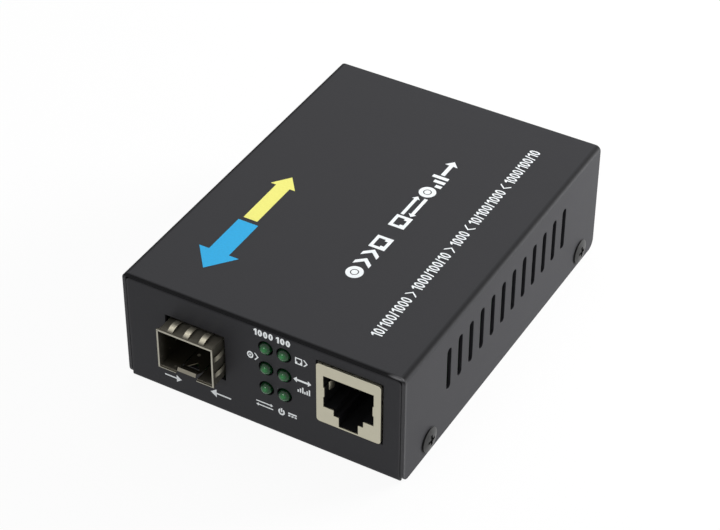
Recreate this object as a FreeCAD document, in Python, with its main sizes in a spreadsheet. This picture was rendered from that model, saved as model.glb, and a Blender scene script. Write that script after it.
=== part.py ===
import FreeCAD
import Part
import math
import os
import re
import Sketcher

# Fibre media converter: a folded steel case with a small-form-factor cage for the fibre module and a
# shielded RJ45 jack in its front panel.
# +X is to the right along the front panel, +Y runs to the rear panel, +Z is up.
# The origin is the centre of the case's underside.

doc = FreeCAD.newDocument("media_converter")
sheet = doc.addObject("Spreadsheet::Sheet", "Dimensions")
aliases = []


def dimension(alias, value):
    """Write one driving dimension, in millimetres, degrees or pieces, into the next row of the sheet."""
    aliases.append(alias)
    row = len(aliases)
    sheet.set("A%d" % row, alias)
    sheet.set("B%d" % row, repr(value))
    sheet.setAlias("B%d" % row, alias)


# The case: two folded sheets.
dimension("case_width", 70.0)
dimension("case_length", 94.0)
dimension("case_height", 29.5)
dimension("wall", 0.8)
dimension("shell_gap", 0.15)
dimension("cover_bend", 1.4)
dimension("cover_lift", 0.2)
dimension("cover_corner", 2.2)
dimension("tray_bend", 1.0)
dimension("panel_corner", 1.2)
dimension("flange_height", 7.0)
dimension("corner_notch", 1.0)
dimension("notch_reach", 2.4)

# Vent slots in the cover's sides.
dimension("slot_count", 12)
dimension("slot_pitch", 5.08)
dimension("slot_width", 1.9)
dimension("slot_length", 11.4)
dimension("slot_middle_height", 17.8)
dimension("slot_row_shift", 0.4)

# Screws that hold the cover to the tray.
dimension("cover_screw_front", 11.2)
dimension("cover_screw_rear", 8.0)
dimension("cover_screw_height", 3.9)
dimension("screw_thread", 2.9)
dimension("thread_clearance", 0.2)
dimension("hole_clearance", 0.4)
dimension("cover_screw_tip", 0.4)
dimension("screw_head", 6.0)
dimension("screw_head_height", 0.8)
dimension("screw_crown", 0.45)
dimension("cross_width", 0.75)
dimension("cross_span", 2.8)
dimension("cross_depth", 0.55)

# Main board, its spacers and its screws.
dimension("board_side_gap", 0.75)
dimension("board_thickness", 1.6)
dimension("board_headroom", 19.5)
dimension("board_front_gap", 0.6)
dimension("board_rear_gap", 1.2)
dimension("spacer_inset", 4.0)
dimension("spacer_front", 25.0)
dimension("spacer_rear", 9.0)
dimension("spacer_diameter", 5.4)
dimension("spacer_rivet", 4.2)
dimension("board_screw_length", 5.0)
dimension("board_screw_head", 5.6)
dimension("board_screw_head_height", 1.7)

# Cage for the fibre module.
dimension("cage_inset", 18.3)
dimension("cage_width", 14.0)
dimension("cage_height", 10.4)
dimension("cage_length", 48.6)
dimension("cage_reach", 4.2)
dimension("cage_lift", 1.4)
dimension("cage_sheet", 0.25)
dimension("cage_corner", 0.5)
dimension("cage_gap", 0.6)
dimension("cage_headroom", 1.0)
dimension("cage_floor_setback", 0.4)
dimension("cage_floor_end_gap", 0.4)
dimension("tongue_width", 4.7)
dimension("tongue_slit", 0.3)
dimension("tongue_length", 13.0)
dimension("tongue_setback", 0.15)
dimension("tongue_lip", 0.35)
dimension("tongue_lip_gap", 0.3)
dimension("tongue_rise", 1.15)
dimension("tongue_ramp", 2.2)
dimension("latch_hole_width", 3.2)
dimension("latch_hole_length", 2.1)
dimension("latch_hole_setback", 2.7)
dimension("cage_pin_width", 0.8)
dimension("cage_pin_length", 2.4)
dimension("cage_foot_width", 1.8)
dimension("cage_pin_first", 9.0)
dimension("cage_pin_pitch", 13.0)
dimension("cage_pin_count", 3)

# Spring collar that earths the cage to the front panel.
dimension("collar_sheet", 0.15)
dimension("collar_band", 0.5)
dimension("finger_width", 1.35)
dimension("finger_pitch", 3.95)
dimension("top_finger_rise", 0.7)
dimension("bottom_finger_rise", 0.45)
dimension("side_finger_rise", 0.3)
dimension("finger_length", 4.4)
dimension("side_finger_pitch", 4.4)
dimension("bottom_finger_span", 10.2)

# Module connector inside the cage.
dimension("host_width", 12.2)
dimension("host_height", 5.6)
dimension("host_length", 8.6)
dimension("host_rear_gap", 2.6)
dimension("host_slot_width", 9.4)
dimension("host_slot_height", 1.4)
dimension("host_slot_depth", 6.0)
dimension("host_slot_middle", 3.3)
dimension("host_pin_count", 10)
dimension("host_pin_pitch", 0.8)
dimension("host_pin_width", 0.35)
dimension("host_pin_thickness", 0.2)
dimension("host_strip_setback", 0.8)
dimension("host_tail_height", 1.0)
dimension("host_tail_shoulder", 0.6)
dimension("host_tail_foot", 1.0)
dimension("host_lead_in", 0.3)

# Shielded RJ45 jack, latch side down.
dimension("jack_inset", 13.2)
dimension("jack_width", 15.6)
dimension("jack_height", 16.2)
dimension("jack_length", 18.0)
dimension("jack_reach", 0.5)
dimension("jack_lift", 0.1)
dimension("jack_sheet", 0.3)
dimension("jack_corner", 0.8)
dimension("jack_gap", 0.3)
dimension("housing_gap", 0.1)
dimension("socket_width", 12.2)
dimension("socket_top", 13.2)
dimension("socket_bottom", 4.5)
dimension("step_width", 7.2)
dimension("step_bottom", 2.9)
dimension("latch_width", 4.7)
dimension("latch_bottom", 0.35)
dimension("guide_rib", 0.25)
dimension("guide_rib_middle", 8.6)
dimension("guide_rib_height", 2.6)
dimension("socket_depth", 13.5)
dimension("jack_pin_pitch", 1.02)
dimension("jack_pin_width", 0.4)
dimension("jack_pin_dip", 2.6)
dimension("jack_pin_count", 8)
dimension("jack_pin_setback", 4.4)
dimension("jack_pin_tip_gap", 3.4)
dimension("jack_pin_bend", 1.2)

# Six lamps in two columns and three rows.
dimension("lamp_x", 3.55)
dimension("lamp_column_pitch", 4.5)
dimension("lamp_row_pitch", 5.65)
dimension("lamp_rise", 8.6)
dimension("lamp_diameter", 3.0)
dimension("lamp_hole", 3.7)
dimension("lamp_reach", 1.2)
dimension("lamp_length", 5.2)
dimension("lamp_flange", 3.8)
dimension("lamp_flange_thickness", 0.9)
dimension("lamp_holder_gap", 0.3)
dimension("lamp_holder_length", 6.5)
dimension("lamp_holder_margin", 2.3)
dimension("lamp_seat_gap", 0.05)
dimension("lead_pitch", 2.54)
dimension("lead_size", 0.5)
dimension("lead_passage", 1.0)
dimension("lead_bend_spacing", 1.27)
dimension("lead_tail", 1.0)

# Power inlet in the rear panel.
dimension("inlet_inset", 15.0)
dimension("inlet_width", 9.0)
dimension("inlet_height", 11.0)
dimension("inlet_length", 14.0)
dimension("inlet_nose", 3.4)
dimension("inlet_barrel", 8.0)
dimension("inlet_bore", 6.2)
dimension("inlet_bore_height", 6.4)
dimension("inlet_bore_depth", 10.5)
dimension("inlet_pin", 2.0)
dimension("inlet_gap", 0.25)
dimension("inlet_reach", 0.2)
dimension("inlet_corner", 0.8)
dimension("inlet_pin_gap", 0.05)
dimension("inlet_pin_setback", 0.8)
dimension("inlet_blade_sheet", 0.3)
dimension("inlet_blade_length", 2.4)
dimension("inlet_leaf_gap", 0.2)
dimension("inlet_leaf_rise", 0.8)
dimension("inlet_leaf_sheet", 0.3)
dimension("inlet_leaf_length", 3.4)

# Parts soldered to the main board.
dimension("switch_chip_size", 12.0)
dimension("switch_chip_height", 1.4)
dimension("switch_chip_x", 4.0)
dimension("switch_chip_y", 4.0)
dimension("switch_pin_count", 12)
dimension("switch_pin_pitch", 0.8)
dimension("transformer_width", 15.0)
dimension("transformer_length", 8.5)
dimension("transformer_height", 5.2)
dimension("transformer_gap", 12.5)
dimension("memory_setback", 23.0)
dimension("memory_x", -6.0)
dimension("regulator_x", 5.0)
dimension("regulator_setback", 17.0)
dimension("soic_width", 3.9)
dimension("soic_length", 4.9)
dimension("soic_height", 1.45)
dimension("soic_pitch", 1.27)
dimension("coil_size", 7.0)
dimension("coil_height", 4.5)
dimension("coil_x", 4.5)
dimension("coil_setback", 7.0)
dimension("coil_corner", 1.4)
dimension("coil_core", 4.2)
dimension("coil_core_height", 0.4)
dimension("can_diameter", 6.3)
dimension("can_height", 7.7)
dimension("can_x", -6.5)
dimension("can_pitch", 9.0)
dimension("can_setback", 8.0)
dimension("can_margin", 0.2)
dimension("can_foot_height", 1.0)
dimension("crystal_length", 11.0)
dimension("crystal_width", 4.6)
dimension("crystal_height", 3.5)
dimension("crystal_inset", 11.0)
dimension("crystal_gap", 5.5)
dimension("crystal_flange", 0.4)
dimension("crystal_flange_sheet", 0.3)
dimension("diode_inset", 5.5)
dimension("diode_setback", 23.0)
dimension("diode_width", 2.7)
dimension("diode_length", 4.5)
dimension("diode_height", 2.2)
dimension("transformer_pin_count", 10)
dimension("chip_stand", 0.1)
dimension("chip_bevel", 0.2)
dimension("lead_sheet", 0.2)
dimension("lead_shoulder", 0.6)
dimension("lead_foot", 0.6)
dimension("lead_width", 0.4)
dimension("chip_capacitor_count", 7)
dimension("chip_capacitor_pitch", 3.2)
dimension("chip_capacitor_x", -24.0)
dimension("chip_capacitor_gap", 3.55)
dimension("chip_capacitor_length", 2.0)
dimension("chip_capacitor_width", 1.25)
dimension("chip_capacitor_height", 1.0)
doc.recompute()

places = {}


def place(name, text):
    """Name a place or size that follows from the driving dimensions."""
    places[name] = text


place("half_width", "case_width / 2")
place("half_length", "case_length / 2")
place("cover_inside", "half_width - wall")
place("cover_ceiling", "case_height - wall")
place("tray_half", "cover_inside - shell_gap")
place("panel_top", "cover_ceiling - shell_gap")
place("panel_inside", "half_length - wall")
place("flange_inside", "tray_half - wall")
place("flange_run", "case_length - 2 * tray_bend - 2 * corner_notch")
place("screw_middle_y", "(cover_screw_front - cover_screw_rear) / 2")
place("screw_span_y", "case_length - cover_screw_front - cover_screw_rear")
place("screw_bore", "screw_thread + thread_clearance")
place("screw_hole", "screw_thread + hole_clearance")
place("board_top", "cover_ceiling - board_headroom")
place("board_bottom", "board_top - board_thickness")
place("board_half", "flange_inside - board_side_gap")
place("board_front", "board_front_gap - panel_inside")
place("board_rear", "panel_inside - board_rear_gap")
place("spacer_x", "board_half - spacer_inset")
place("spacer_front_y", "spacer_front - half_length")
place("spacer_span_y", "case_length - spacer_front - spacer_rear")
place("cage_x", "cage_inset - half_width")
place("cage_half", "cage_width / 2")
place("cage_front", "-half_length - cage_reach")
place("cage_rear", "cage_front + cage_length")
place("cage_bottom", "board_top + cage_lift")
place("cage_top", "cage_bottom + cage_height")
place("cage_middle", "cage_bottom + cage_height / 2")
place("host_rear", "cage_rear - cage_sheet - host_rear_gap - host_tail_foot - host_tail_shoulder")
place("host_front", "host_rear - host_length")
place("jack_x", "half_width - jack_inset")
place("jack_front", "-half_length - jack_reach")
place("jack_bottom", "board_top + jack_lift")
place("jack_top", "jack_bottom + jack_height")
place("lamp_level", "board_top + lamp_rise")
place("lamp_front", "-half_length - lamp_reach")
place("lamp_rear", "lamp_front + lamp_length")
place("holder_front", "lamp_holder_gap - panel_inside")
place("inlet_x", "half_width - inlet_inset")
place("inlet_rear", "half_length + inlet_reach")
place("inlet_centre", "board_top + inlet_bore_height")
place("inlet_blade_y", "inlet_rear - inlet_length - inlet_blade_sheet / 2")
place("transformer_y", "jack_front + jack_length + transformer_gap + transformer_width / 2")
place("crystal_y", "transformer_y + (transformer_width + crystal_length) / 2 + crystal_gap")
place("memory_y", "board_rear - memory_setback")
place("capacitor_row_y", "memory_y - (soic_length + chip_capacitor_length) / 2 - chip_capacitor_gap")


def formula(text):
    """Turn a formula written with dimensions and places into one that the document understands."""
    def spelled_out(word):
        name = word.group()
        if name in places:
            return "(%s)" % formula(places[name])
        return "Dimensions." + name if name in aliases else name
    return re.sub(r"[a-z][a-z_]+", spelled_out, text)


def size(text):
    """Work out a formula's present value."""
    return float(sheet.evalExpression(formula(text)))


def new_body(name):
    body = doc.addObject("PartDesign::Body", name)
    body.Label = name
    return body


def origin_feature(body, role):
    return next(feature for feature in body.Origin.OriginFeatures if feature.Role == role)


def new_sketch(body, name, plane, across="0", up="0", out="0"):
    """Attach a sketch to an origin plane, moved across, up and out along its own axes."""
    sketch = body.newObject("Sketcher::SketchObject", name)
    sketch.AttachmentSupport = [(origin_feature(body, plane + "_Plane"), "")]
    sketch.MapMode = "FlatFace"
    for axis, offset in (("x", across), ("y", up), ("z", out)):
        sketch.setExpression("AttachmentOffset.Base." + axis, formula(offset))
    return sketch


def hold(sketch, kind, geometry, point, text):
    """Dimension one point from the sketch's origin, along X or along Y."""
    distance = size(text)
    if abs(distance) < 1e-9:
        axis = -2 if kind == "DistanceX" else -1
        sketch.addConstraint(Sketcher.Constraint("PointOnObject", geometry, point, axis))
        return
    ends = (-1, 1, geometry, point) if distance > 0 else (geometry, point, -1, 1)
    sign = "" if distance > 0 else "-"
    number = sketch.addConstraint(Sketcher.Constraint(kind, *ends, abs(distance)))
    sketch.setExpression("Constraints[%d]" % number, "%s(%s)" % (sign, formula(text)))


def outline(sketch, corners):
    """Draw a closed outline of straight lines through corners given as pairs of formulas."""
    points = [FreeCAD.Vector(size(x), size(y), 0) for x, y in corners]
    first = sketch.GeometryCount
    count = len(points)
    for index, start in enumerate(points):
        sketch.addGeometry(Part.LineSegment(start, points[(index + 1) % count]), False)
    for index in range(count):
        following = first + (index + 1) % count
        sketch.addConstraint(Sketcher.Constraint("Coincident", first + index, 2, following, 1))
    for index, (x, y) in enumerate(corners):
        hold(sketch, "DistanceX", first + index, 1, x)
        hold(sketch, "DistanceY", first + index, 1, y)


def rectangle(sketch, width, height):
    """Draw a rectangle about the sketch's origin."""
    right, top = "(%s) / 2" % width, "(%s) / 2" % height
    left, bottom = "-" + right, "-" + top
    outline(sketch, [(left, bottom), (right, bottom), (right, top), (left, top)])


def circle(sketch, diameter, x="0", y="0"):
    """Draw a circle whose centre and diameter are formulas."""
    centre = FreeCAD.Vector(size(x), size(y), 0)
    shape = Part.Circle(centre, FreeCAD.Vector(0, 0, 1), size(diameter) / 2)
    number = sketch.addGeometry(shape, False)
    hold(sketch, "DistanceX", number, 3, x)
    hold(sketch, "DistanceY", number, 3, y)
    width = sketch.addConstraint(Sketcher.Constraint("Diameter", number, size(diameter)))
    sketch.setExpression("Constraints[%d]" % width, formula(diameter))


def pad(body, sketch, length, symmetric=False, reverse=False):
    """Add material along the sketch's normal."""
    feature = body.newObject("PartDesign::Pad", sketch.Name + "_pad")
    feature.Profile = sketch
    feature.SideType = "Symmetric" if symmetric else "One side"
    feature.Reversed = reverse
    feature.setExpression("Length", formula(length))
    doc.recompute()
    return feature


def pocket(body, sketch, length, symmetric=False, reverse=False):
    """Cut material away against the sketch's normal, and make sure that something was cut."""
    before = body.Tip.Shape.Volume
    feature = body.newObject("PartDesign::Pocket", sketch.Name + "_pocket")
    feature.Profile = sketch
    feature.SideType = "Symmetric" if symmetric else "One side"
    feature.Reversed = reverse
    feature.setExpression("Length", formula(length))
    doc.recompute()
    if feature.Shape.Volume > before - 1e-6:
        raise RuntimeError("%s cut nothing" % feature.Name)
    return feature


def revolve(body, sketch, axis):
    """Turn a profile a full circle about a sketch axis."""
    feature = body.newObject("PartDesign::Revolution", sketch.Name + "_turn")
    feature.Profile = sketch
    feature.ReferenceAxis = (sketch, [axis])
    feature.Angle = 360
    doc.recompute()
    return feature


def row_of(body, features, axis, count, span):
    """Repeat features along an origin axis, first to last over the given span."""
    pattern = body.newObject("PartDesign::LinearPattern", features[0].Name + "_row")
    pattern.Originals = features
    pattern.Direction = (origin_feature(body, axis + "_Axis"), [""])
    pattern.setExpression("Length", formula(span))
    pattern.setExpression("Occurrences", formula(count))
    body.Tip = pattern
    doc.recompute()
    return pattern


def edges_along(shape, axis, places):
    """Number the straight edges parallel to an axis that pass through the places, pairs of formulas."""
    across = {"X": (1, 2), "Y": (0, 2), "Z": (0, 1)}[axis]
    wanted = [(size(first), size(second)) for first, second in places]
    numbers = []
    for number, edge in enumerate(shape.Edges, 1):
        if not isinstance(edge.Curve, Part.Line):
            continue
        ends = [tuple(vertex.Point[i] for i in across) for vertex in edge.Vertexes]
        if any(all(math.dist(end, place) < 1e-4 for end in ends) for place in wanted):
            numbers.append(number)
    return numbers


def dress(body, kind, name, amount, edges):
    """Fillet or chamfer the numbered edges of the body as it stands."""
    if not edges:
        raise RuntimeError("%s found no edges" % name)
    base = body.Tip
    feature = body.newObject("PartDesign::" + kind, name)
    feature.Base = (base, ["Edge%d" % number for number in edges])
    feature.setExpression("Radius" if kind == "Fillet" else "Size", formula(amount))
    doc.recompute()
    return feature


def round_edges(body, name, radius, axis, places):
    """Fillet the straight edges parallel to an axis that pass through the places."""
    return dress(body, "Fillet", name, radius, edges_along(body.Tip.Shape, axis, places))


def edges_level(shape, axis, place):
    """Number the edges that lie wholly in the plane across an axis at a place."""
    level = size(place)
    index = "XYZ".index(axis)
    return [number for number, edge in enumerate(shape.Edges, 1)
            if all(abs(vertex.Point[index] - level) < 1e-4 for vertex in edge.Vertexes)
            and abs(edge.CenterOfMass[index] - level) < 1e-4]


def both_sides(x, *rest):
    """List a place and its mirror image across the middle plane."""
    return [(x,) + rest, ("-" + x,) + rest]


def compound(name, members):
    """Gather alike pieces under one name."""
    group = doc.addObject("Part::Compound", name)
    group.Label = name
    group.Links = members
    doc.recompute()
    return group


def mirror_copy(source, name):
    """Copy a piece to the other side of the middle plane."""
    copy = doc.addObject("Part::Mirroring", name)
    copy.Source = source
    copy.Normal = FreeCAD.Vector(1, 0, 0)
    doc.recompute()
    return copy


def top_cover():
    """Inverted U of sheet steel: the top and both sides, with a row of slots in each side."""
    body = new_body("top_cover")
    profile = new_sketch(body, "cover_profile", "XZ")
    outline(profile, [("-half_width", "cover_lift"), ("-half_width", "case_height"),
                      ("half_width", "case_height"), ("half_width", "cover_lift"),
                      ("cover_inside", "cover_lift"), ("cover_inside", "cover_ceiling"),
                      ("-cover_inside", "cover_ceiling"), ("-cover_inside", "cover_lift")])
    pad(body, profile, "case_length", symmetric=True)
    round_edges(body, "cover_inner_bends", "cover_bend - wall", "Y",
                both_sides("cover_inside", "cover_ceiling"))
    round_edges(body, "cover_outer_bends", "cover_bend", "Y", both_sides("half_width", "case_height"))
    round_edges(body, "cover_corners", "cover_corner", "X",
                [("-half_length", "cover_lift"), ("half_length", "cover_lift")])

    slot = new_sketch(body, "vent_slot", "YZ", "slot_row_shift - slot_pitch * (slot_count - 1) / 2",
                      "slot_middle_height")
    long_slot(slot, "slot_width", "slot_length")
    first_slot = pocket(body, slot, "case_width + wall", symmetric=True)
    row_of(body, [first_slot], "Y", "slot_count", "slot_pitch * (slot_count - 1)")

    holes = new_sketch(body, "cover_screw_holes", "YZ", "screw_middle_y", "cover_screw_height")
    for end in ("-", ""):
        circle(holes, "screw_hole", "%sscrew_span_y / 2" % end)
    pocket(body, holes, "case_width + wall", symmetric=True)
    return body


def long_slot(sketch, width, length):
    """Draw an upright round-ended slot about the sketch's origin."""
    radius, reach = size(width) / 2, (size(length) - size(width)) / 2
    upward, downward = FreeCAD.Vector(0, reach, 0), FreeCAD.Vector(0, -reach, 0)
    normal = FreeCAD.Vector(0, 0, 1)
    top = sketch.addGeometry(Part.ArcOfCircle(Part.Circle(upward, normal, radius), 0, math.pi), False)
    foot = sketch.addGeometry(
        Part.ArcOfCircle(Part.Circle(downward, normal, radius), math.pi, 2 * math.pi), False)
    left, right = FreeCAD.Vector(-radius, 0, 0), FreeCAD.Vector(radius, 0, 0)
    left_side = sketch.addGeometry(Part.LineSegment(left + upward, left + downward), False)
    right_side = sketch.addGeometry(Part.LineSegment(right + downward, right + upward), False)
    for first, first_end, second, second_end in (
            (top, 2, left_side, 1), (left_side, 2, foot, 1), (foot, 2, right_side, 1),
            (right_side, 2, top, 1)):
        sketch.addConstraint(Sketcher.Constraint("Tangent", first, first_end, second, second_end))
    sketch.addConstraint(Sketcher.Constraint("Vertical", left_side))
    for arc, side in ((top, ""), (foot, "-")):
        sketch.addConstraint(Sketcher.Constraint("PointOnObject", arc, 3, -2))
        hold(sketch, "DistanceY", arc, 3, "%s(%s - %s) / 2" % (side, length, width))
    number = sketch.addConstraint(Sketcher.Constraint("Radius", top, radius))
    sketch.setExpression("Constraints[%d]" % number, formula("(%s) / 2" % width))


def base_tray():
    """Floor with low side flanges, and the front and rear panels folded up from it."""
    body = new_body("base_tray")
    floor = new_sketch(body, "floor_and_flanges", "XZ")
    outline(floor, [("-tray_half", "0"), ("tray_half", "0"), ("tray_half", "flange_height"),
                    ("flange_inside", "flange_height"), ("flange_inside", "wall"),
                    ("-flange_inside", "wall"), ("-flange_inside", "flange_height"),
                    ("-tray_half", "flange_height")])
    pad(body, floor, "flange_run", symmetric=True)
    round_edges(body, "flange_inner_bends", "tray_bend - wall", "Y", both_sides("flange_inside", "wall"))
    round_edges(body, "flange_outer_bends", "tray_bend", "Y", both_sides("tray_half", "0"))
    round_edges(body, "flange_ends", "tray_bend", "X",
                [("-flange_run / 2", "flange_height"), ("flange_run / 2", "flange_height")])

    for end, sign in (("front", "-"), ("rear", "")):
        panel = new_sketch(body, end + "_panel", "YZ")
        corners = [("half_length", "0"), ("half_length", "panel_top"), ("panel_inside", "panel_top"),
                   ("panel_inside", "wall"), ("flange_run / 2", "wall"), ("flange_run / 2", "0")]
        outline(panel, [(sign + along, height) for along, height in corners])
        pad(body, panel, "2 * tray_half", symmetric=True)
    round_edges(body, "panel_inner_bends", "tray_bend - wall", "X",
                [("-panel_inside", "wall"), ("panel_inside", "wall")])
    round_edges(body, "panel_outer_bends", "tray_bend", "X",
                [("-half_length", "0"), ("half_length", "0")])
    round_edges(body, "panel_corners", "panel_corner", "Y", both_sides("tray_half", "panel_top"))

    for side in ("-", ""):
        for end in ("-", ""):
            name = "notch_%s_%s" % ("left" if side else "right", "front" if end else "rear")
            notch = new_sketch(body, name, "XY", "%s(tray_half - notch_reach / 2)" % side,
                               "%s(flange_run / 2 + corner_notch / 2)" % end)
            rectangle(notch, "notch_reach", "corner_notch")
            pocket(body, notch, "flange_height", reverse=True)

    module = new_sketch(body, "module_opening", "XZ", "cage_x", "cage_middle", "half_length")
    rectangle(module, "cage_width + 2 * cage_gap", "cage_height + 2 * cage_headroom")
    pocket(body, module, "wall")
    jack = new_sketch(body, "jack_opening", "XZ", "jack_x", "jack_bottom + jack_height / 2",
                      "half_length")
    rectangle(jack, "jack_width + 2 * jack_gap", "jack_height + 2 * jack_gap")
    pocket(body, jack, "wall")
    lamps = new_sketch(body, "lamp_openings", "XZ", "lamp_x", "lamp_level", "half_length")
    for column, row in lamp_grid():
        circle(lamps, "lamp_hole", column, row)
    pocket(body, lamps, "wall")
    inlet = new_sketch(body, "inlet_opening", "XZ", "inlet_x", "board_top + inlet_height / 2",
                       "-half_length")
    rectangle(inlet, "inlet_width + 2 * inlet_gap", "inlet_height + 2 * inlet_gap")
    pocket(body, inlet, "wall", reverse=True)

    holes = new_sketch(body, "flange_thread_holes", "YZ", "screw_middle_y", "cover_screw_height")
    for end in ("-", ""):
        circle(holes, "screw_bore", "%sscrew_span_y / 2" % end)
    pocket(body, holes, "case_width", symmetric=True)
    rivets = new_sketch(body, "spacer_holes", "XY")
    for x, y in spacer_grid():
        circle(rivets, "spacer_rivet", x, y)
    pocket(body, rivets, "wall", reverse=True)
    return body


def lamp_grid():
    """List the lamps' places from the middle of the group: columns left to right, rows upward."""
    return [("%slamp_column_pitch / 2" % side, "%d * lamp_row_pitch" % row)
            for row in (-1, 0, 1) for side in ("-", "")]


def spacer_grid():
    """List the four board spacers' places in plan."""
    return [(side + "spacer_x", y) for side in ("-", "")
            for y in ("spacer_front_y", "spacer_front_y + spacer_span_y")]


def cross_recess(body, plane, across, up, out):
    """Cut a cross-shaped driver recess along the plane's normal."""
    for name, width, height in (("cross_upright", "cross_width", "cross_span"),
                                ("cross_level", "cross_span", "cross_width")):
        arm = new_sketch(body, body.Name + "_" + name, plane, across, up, out)
        rectangle(arm, width, height)
        pocket(body, arm, "cross_depth", reverse=True)


def nosed_outline(sketch, corners, nose_centre):
    """Draw half of a turned piece: lines from its tip through the corners, and a round nose back."""
    points = [FreeCAD.Vector(size(x), size(y), 0) for x, y in corners]
    for start, end in zip(points, points[1:]):
        sketch.addGeometry(Part.LineSegment(start, end), False)
    centre = FreeCAD.Vector(size(nose_centre), 0, 0)
    side = points[-1] - centre
    nose = Part.Circle(centre, FreeCAD.Vector(0, 0, 1), side.Length)
    start_angle = math.atan2(side.y, side.x)
    arc = sketch.addGeometry(Part.ArcOfCircle(nose, start_angle, math.pi), False)
    for index in range(arc):
        sketch.addConstraint(Sketcher.Constraint("Coincident", index, 2, index + 1, 1))
    sketch.addConstraint(Sketcher.Constraint("Coincident", arc, 2, 0, 1))
    sketch.addConstraint(Sketcher.Constraint("PointOnObject", arc, 3, -1))
    for index, (x, y) in enumerate(corners[1:]):
        hold(sketch, "DistanceX", index, 2, x)
        hold(sketch, "DistanceY", index, 2, y)
    hold(sketch, "DistanceX", 0, 1, "0")
    hold(sketch, "DistanceY", 0, 1, "0")


def cover_screws():
    """Four low pan-head screws: through the cover's sides into the tray's flanges."""
    screws = []
    shank_end = "screw_head_height + wall + shell_gap + wall + cover_screw_tip"
    crown_centre = "screw_head ^ 2 / 8 / screw_crown + screw_crown / 2"
    for end, sign in (("front", "-"), ("rear", "+")):
        body = new_body("left_cover_screw_" + end)
        y = "(screw_middle_y %s screw_span_y / 2)" % sign
        half = new_sketch(body, end + "_screw_half", "XZ", "-half_width - screw_head_height",
                          "cover_screw_height", "-" + y)
        nosed_outline(half, [("0", "0"), (shank_end, "0"), (shank_end, "screw_thread / 2"),
                             ("screw_head_height", "screw_thread / 2"),
                             ("screw_head_height", "screw_head / 2"),
                             ("screw_crown", "screw_head / 2")], crown_centre)
        revolve(body, half, "H_Axis")
        cross_recess(body, "YZ", y, "cover_screw_height", "-half_width - screw_head_height")
        screws += [body, mirror_copy(body, "right_cover_screw_" + end)]
    return compound("cover_screws", screws)


def turned_row(name, profile_name, corners):
    """Turn a profile about an upright axis, four times: front and rear, right and left."""
    body = new_body(name + "_right")
    profile = new_sketch(body, profile_name, "XZ", "spacer_x", "0", "-spacer_front_y")
    outline(profile, corners)
    turn = revolve(body, profile, "V_Axis")
    row_of(body, [turn], "Y", "2", "spacer_span_y")
    return compound(name, [body, mirror_copy(body, name + "_left")])


def board_spacers():
    """Threaded spacers riveted into the tray's floor."""
    bore = "screw_bore / 2"
    rivet, outer = "spacer_rivet / 2", "spacer_diameter / 2"
    return turned_row("board_spacers", "spacer_profile", [
        (bore, "0"), (rivet, "0"), (rivet, "wall"), (outer, "wall"), (outer, "board_bottom"),
        (bore, "board_bottom")])


def board_screws():
    """Pan-head screws that hold the board down on its spacers."""
    shank, head = "screw_thread / 2", "board_screw_head / 2"
    crown = "(board_top + board_screw_head_height)"
    tip = "(board_top - board_screw_length)"
    return turned_row("board_screws", "board_screw_profile", [
        ("0", tip), (shank, tip), (shank, "board_top"), (head, "board_top"),
        (head, crown), ("0", crown)])


def main_board():
    """Circuit board with holes for its screws and slots for what is soldered through it."""
    body = new_body("main_board")
    plate = new_sketch(body, "board_outline", "XY", "0", "(board_front + board_rear) / 2",
                       "board_bottom")
    rectangle(plate, "2 * board_half", "board_rear - board_front")
    pad(body, plate, "board_thickness")
    holes = new_sketch(body, "board_holes", "XY", "0", "0", "board_top")
    for x, y in spacer_grid():
        circle(holes, "screw_hole", x, y)
    pocket(body, holes, "board_thickness")

    slots = [(x, y, "cage_sheet", "cage_pin_width") for x, y in cage_pin_places()]
    slots.append(("inlet_x", "inlet_blade_y", "inlet_pin", "inlet_blade_sheet"))
    slots += [("lamp_x " + column, lead_bend(level), "lead_pitch + lead_size", "lead_size")
              for level in range(3) for column in ("- lamp_column_pitch / 2", "+ lamp_column_pitch / 2")]
    for number, (x, y, width, length) in enumerate(slots):
        slot = new_sketch(body, "pin_slot_%d" % (number + 1), "XY", x, y, "board_top")
        rectangle(slot, width + " + hole_clearance", length + " + hole_clearance")
        pocket(body, slot, "board_thickness")
    return body


def cage_pin_places():
    """List the cage's board pins in plan: a row down each side wall."""
    return [("cage_x %s (cage_half - cage_sheet / 2)" % sign,
             "cage_front + cage_pin_first + %d * cage_pin_pitch" % number)
            for sign in ("-", "+") for number in range(int(size("cage_pin_count")))]


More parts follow.
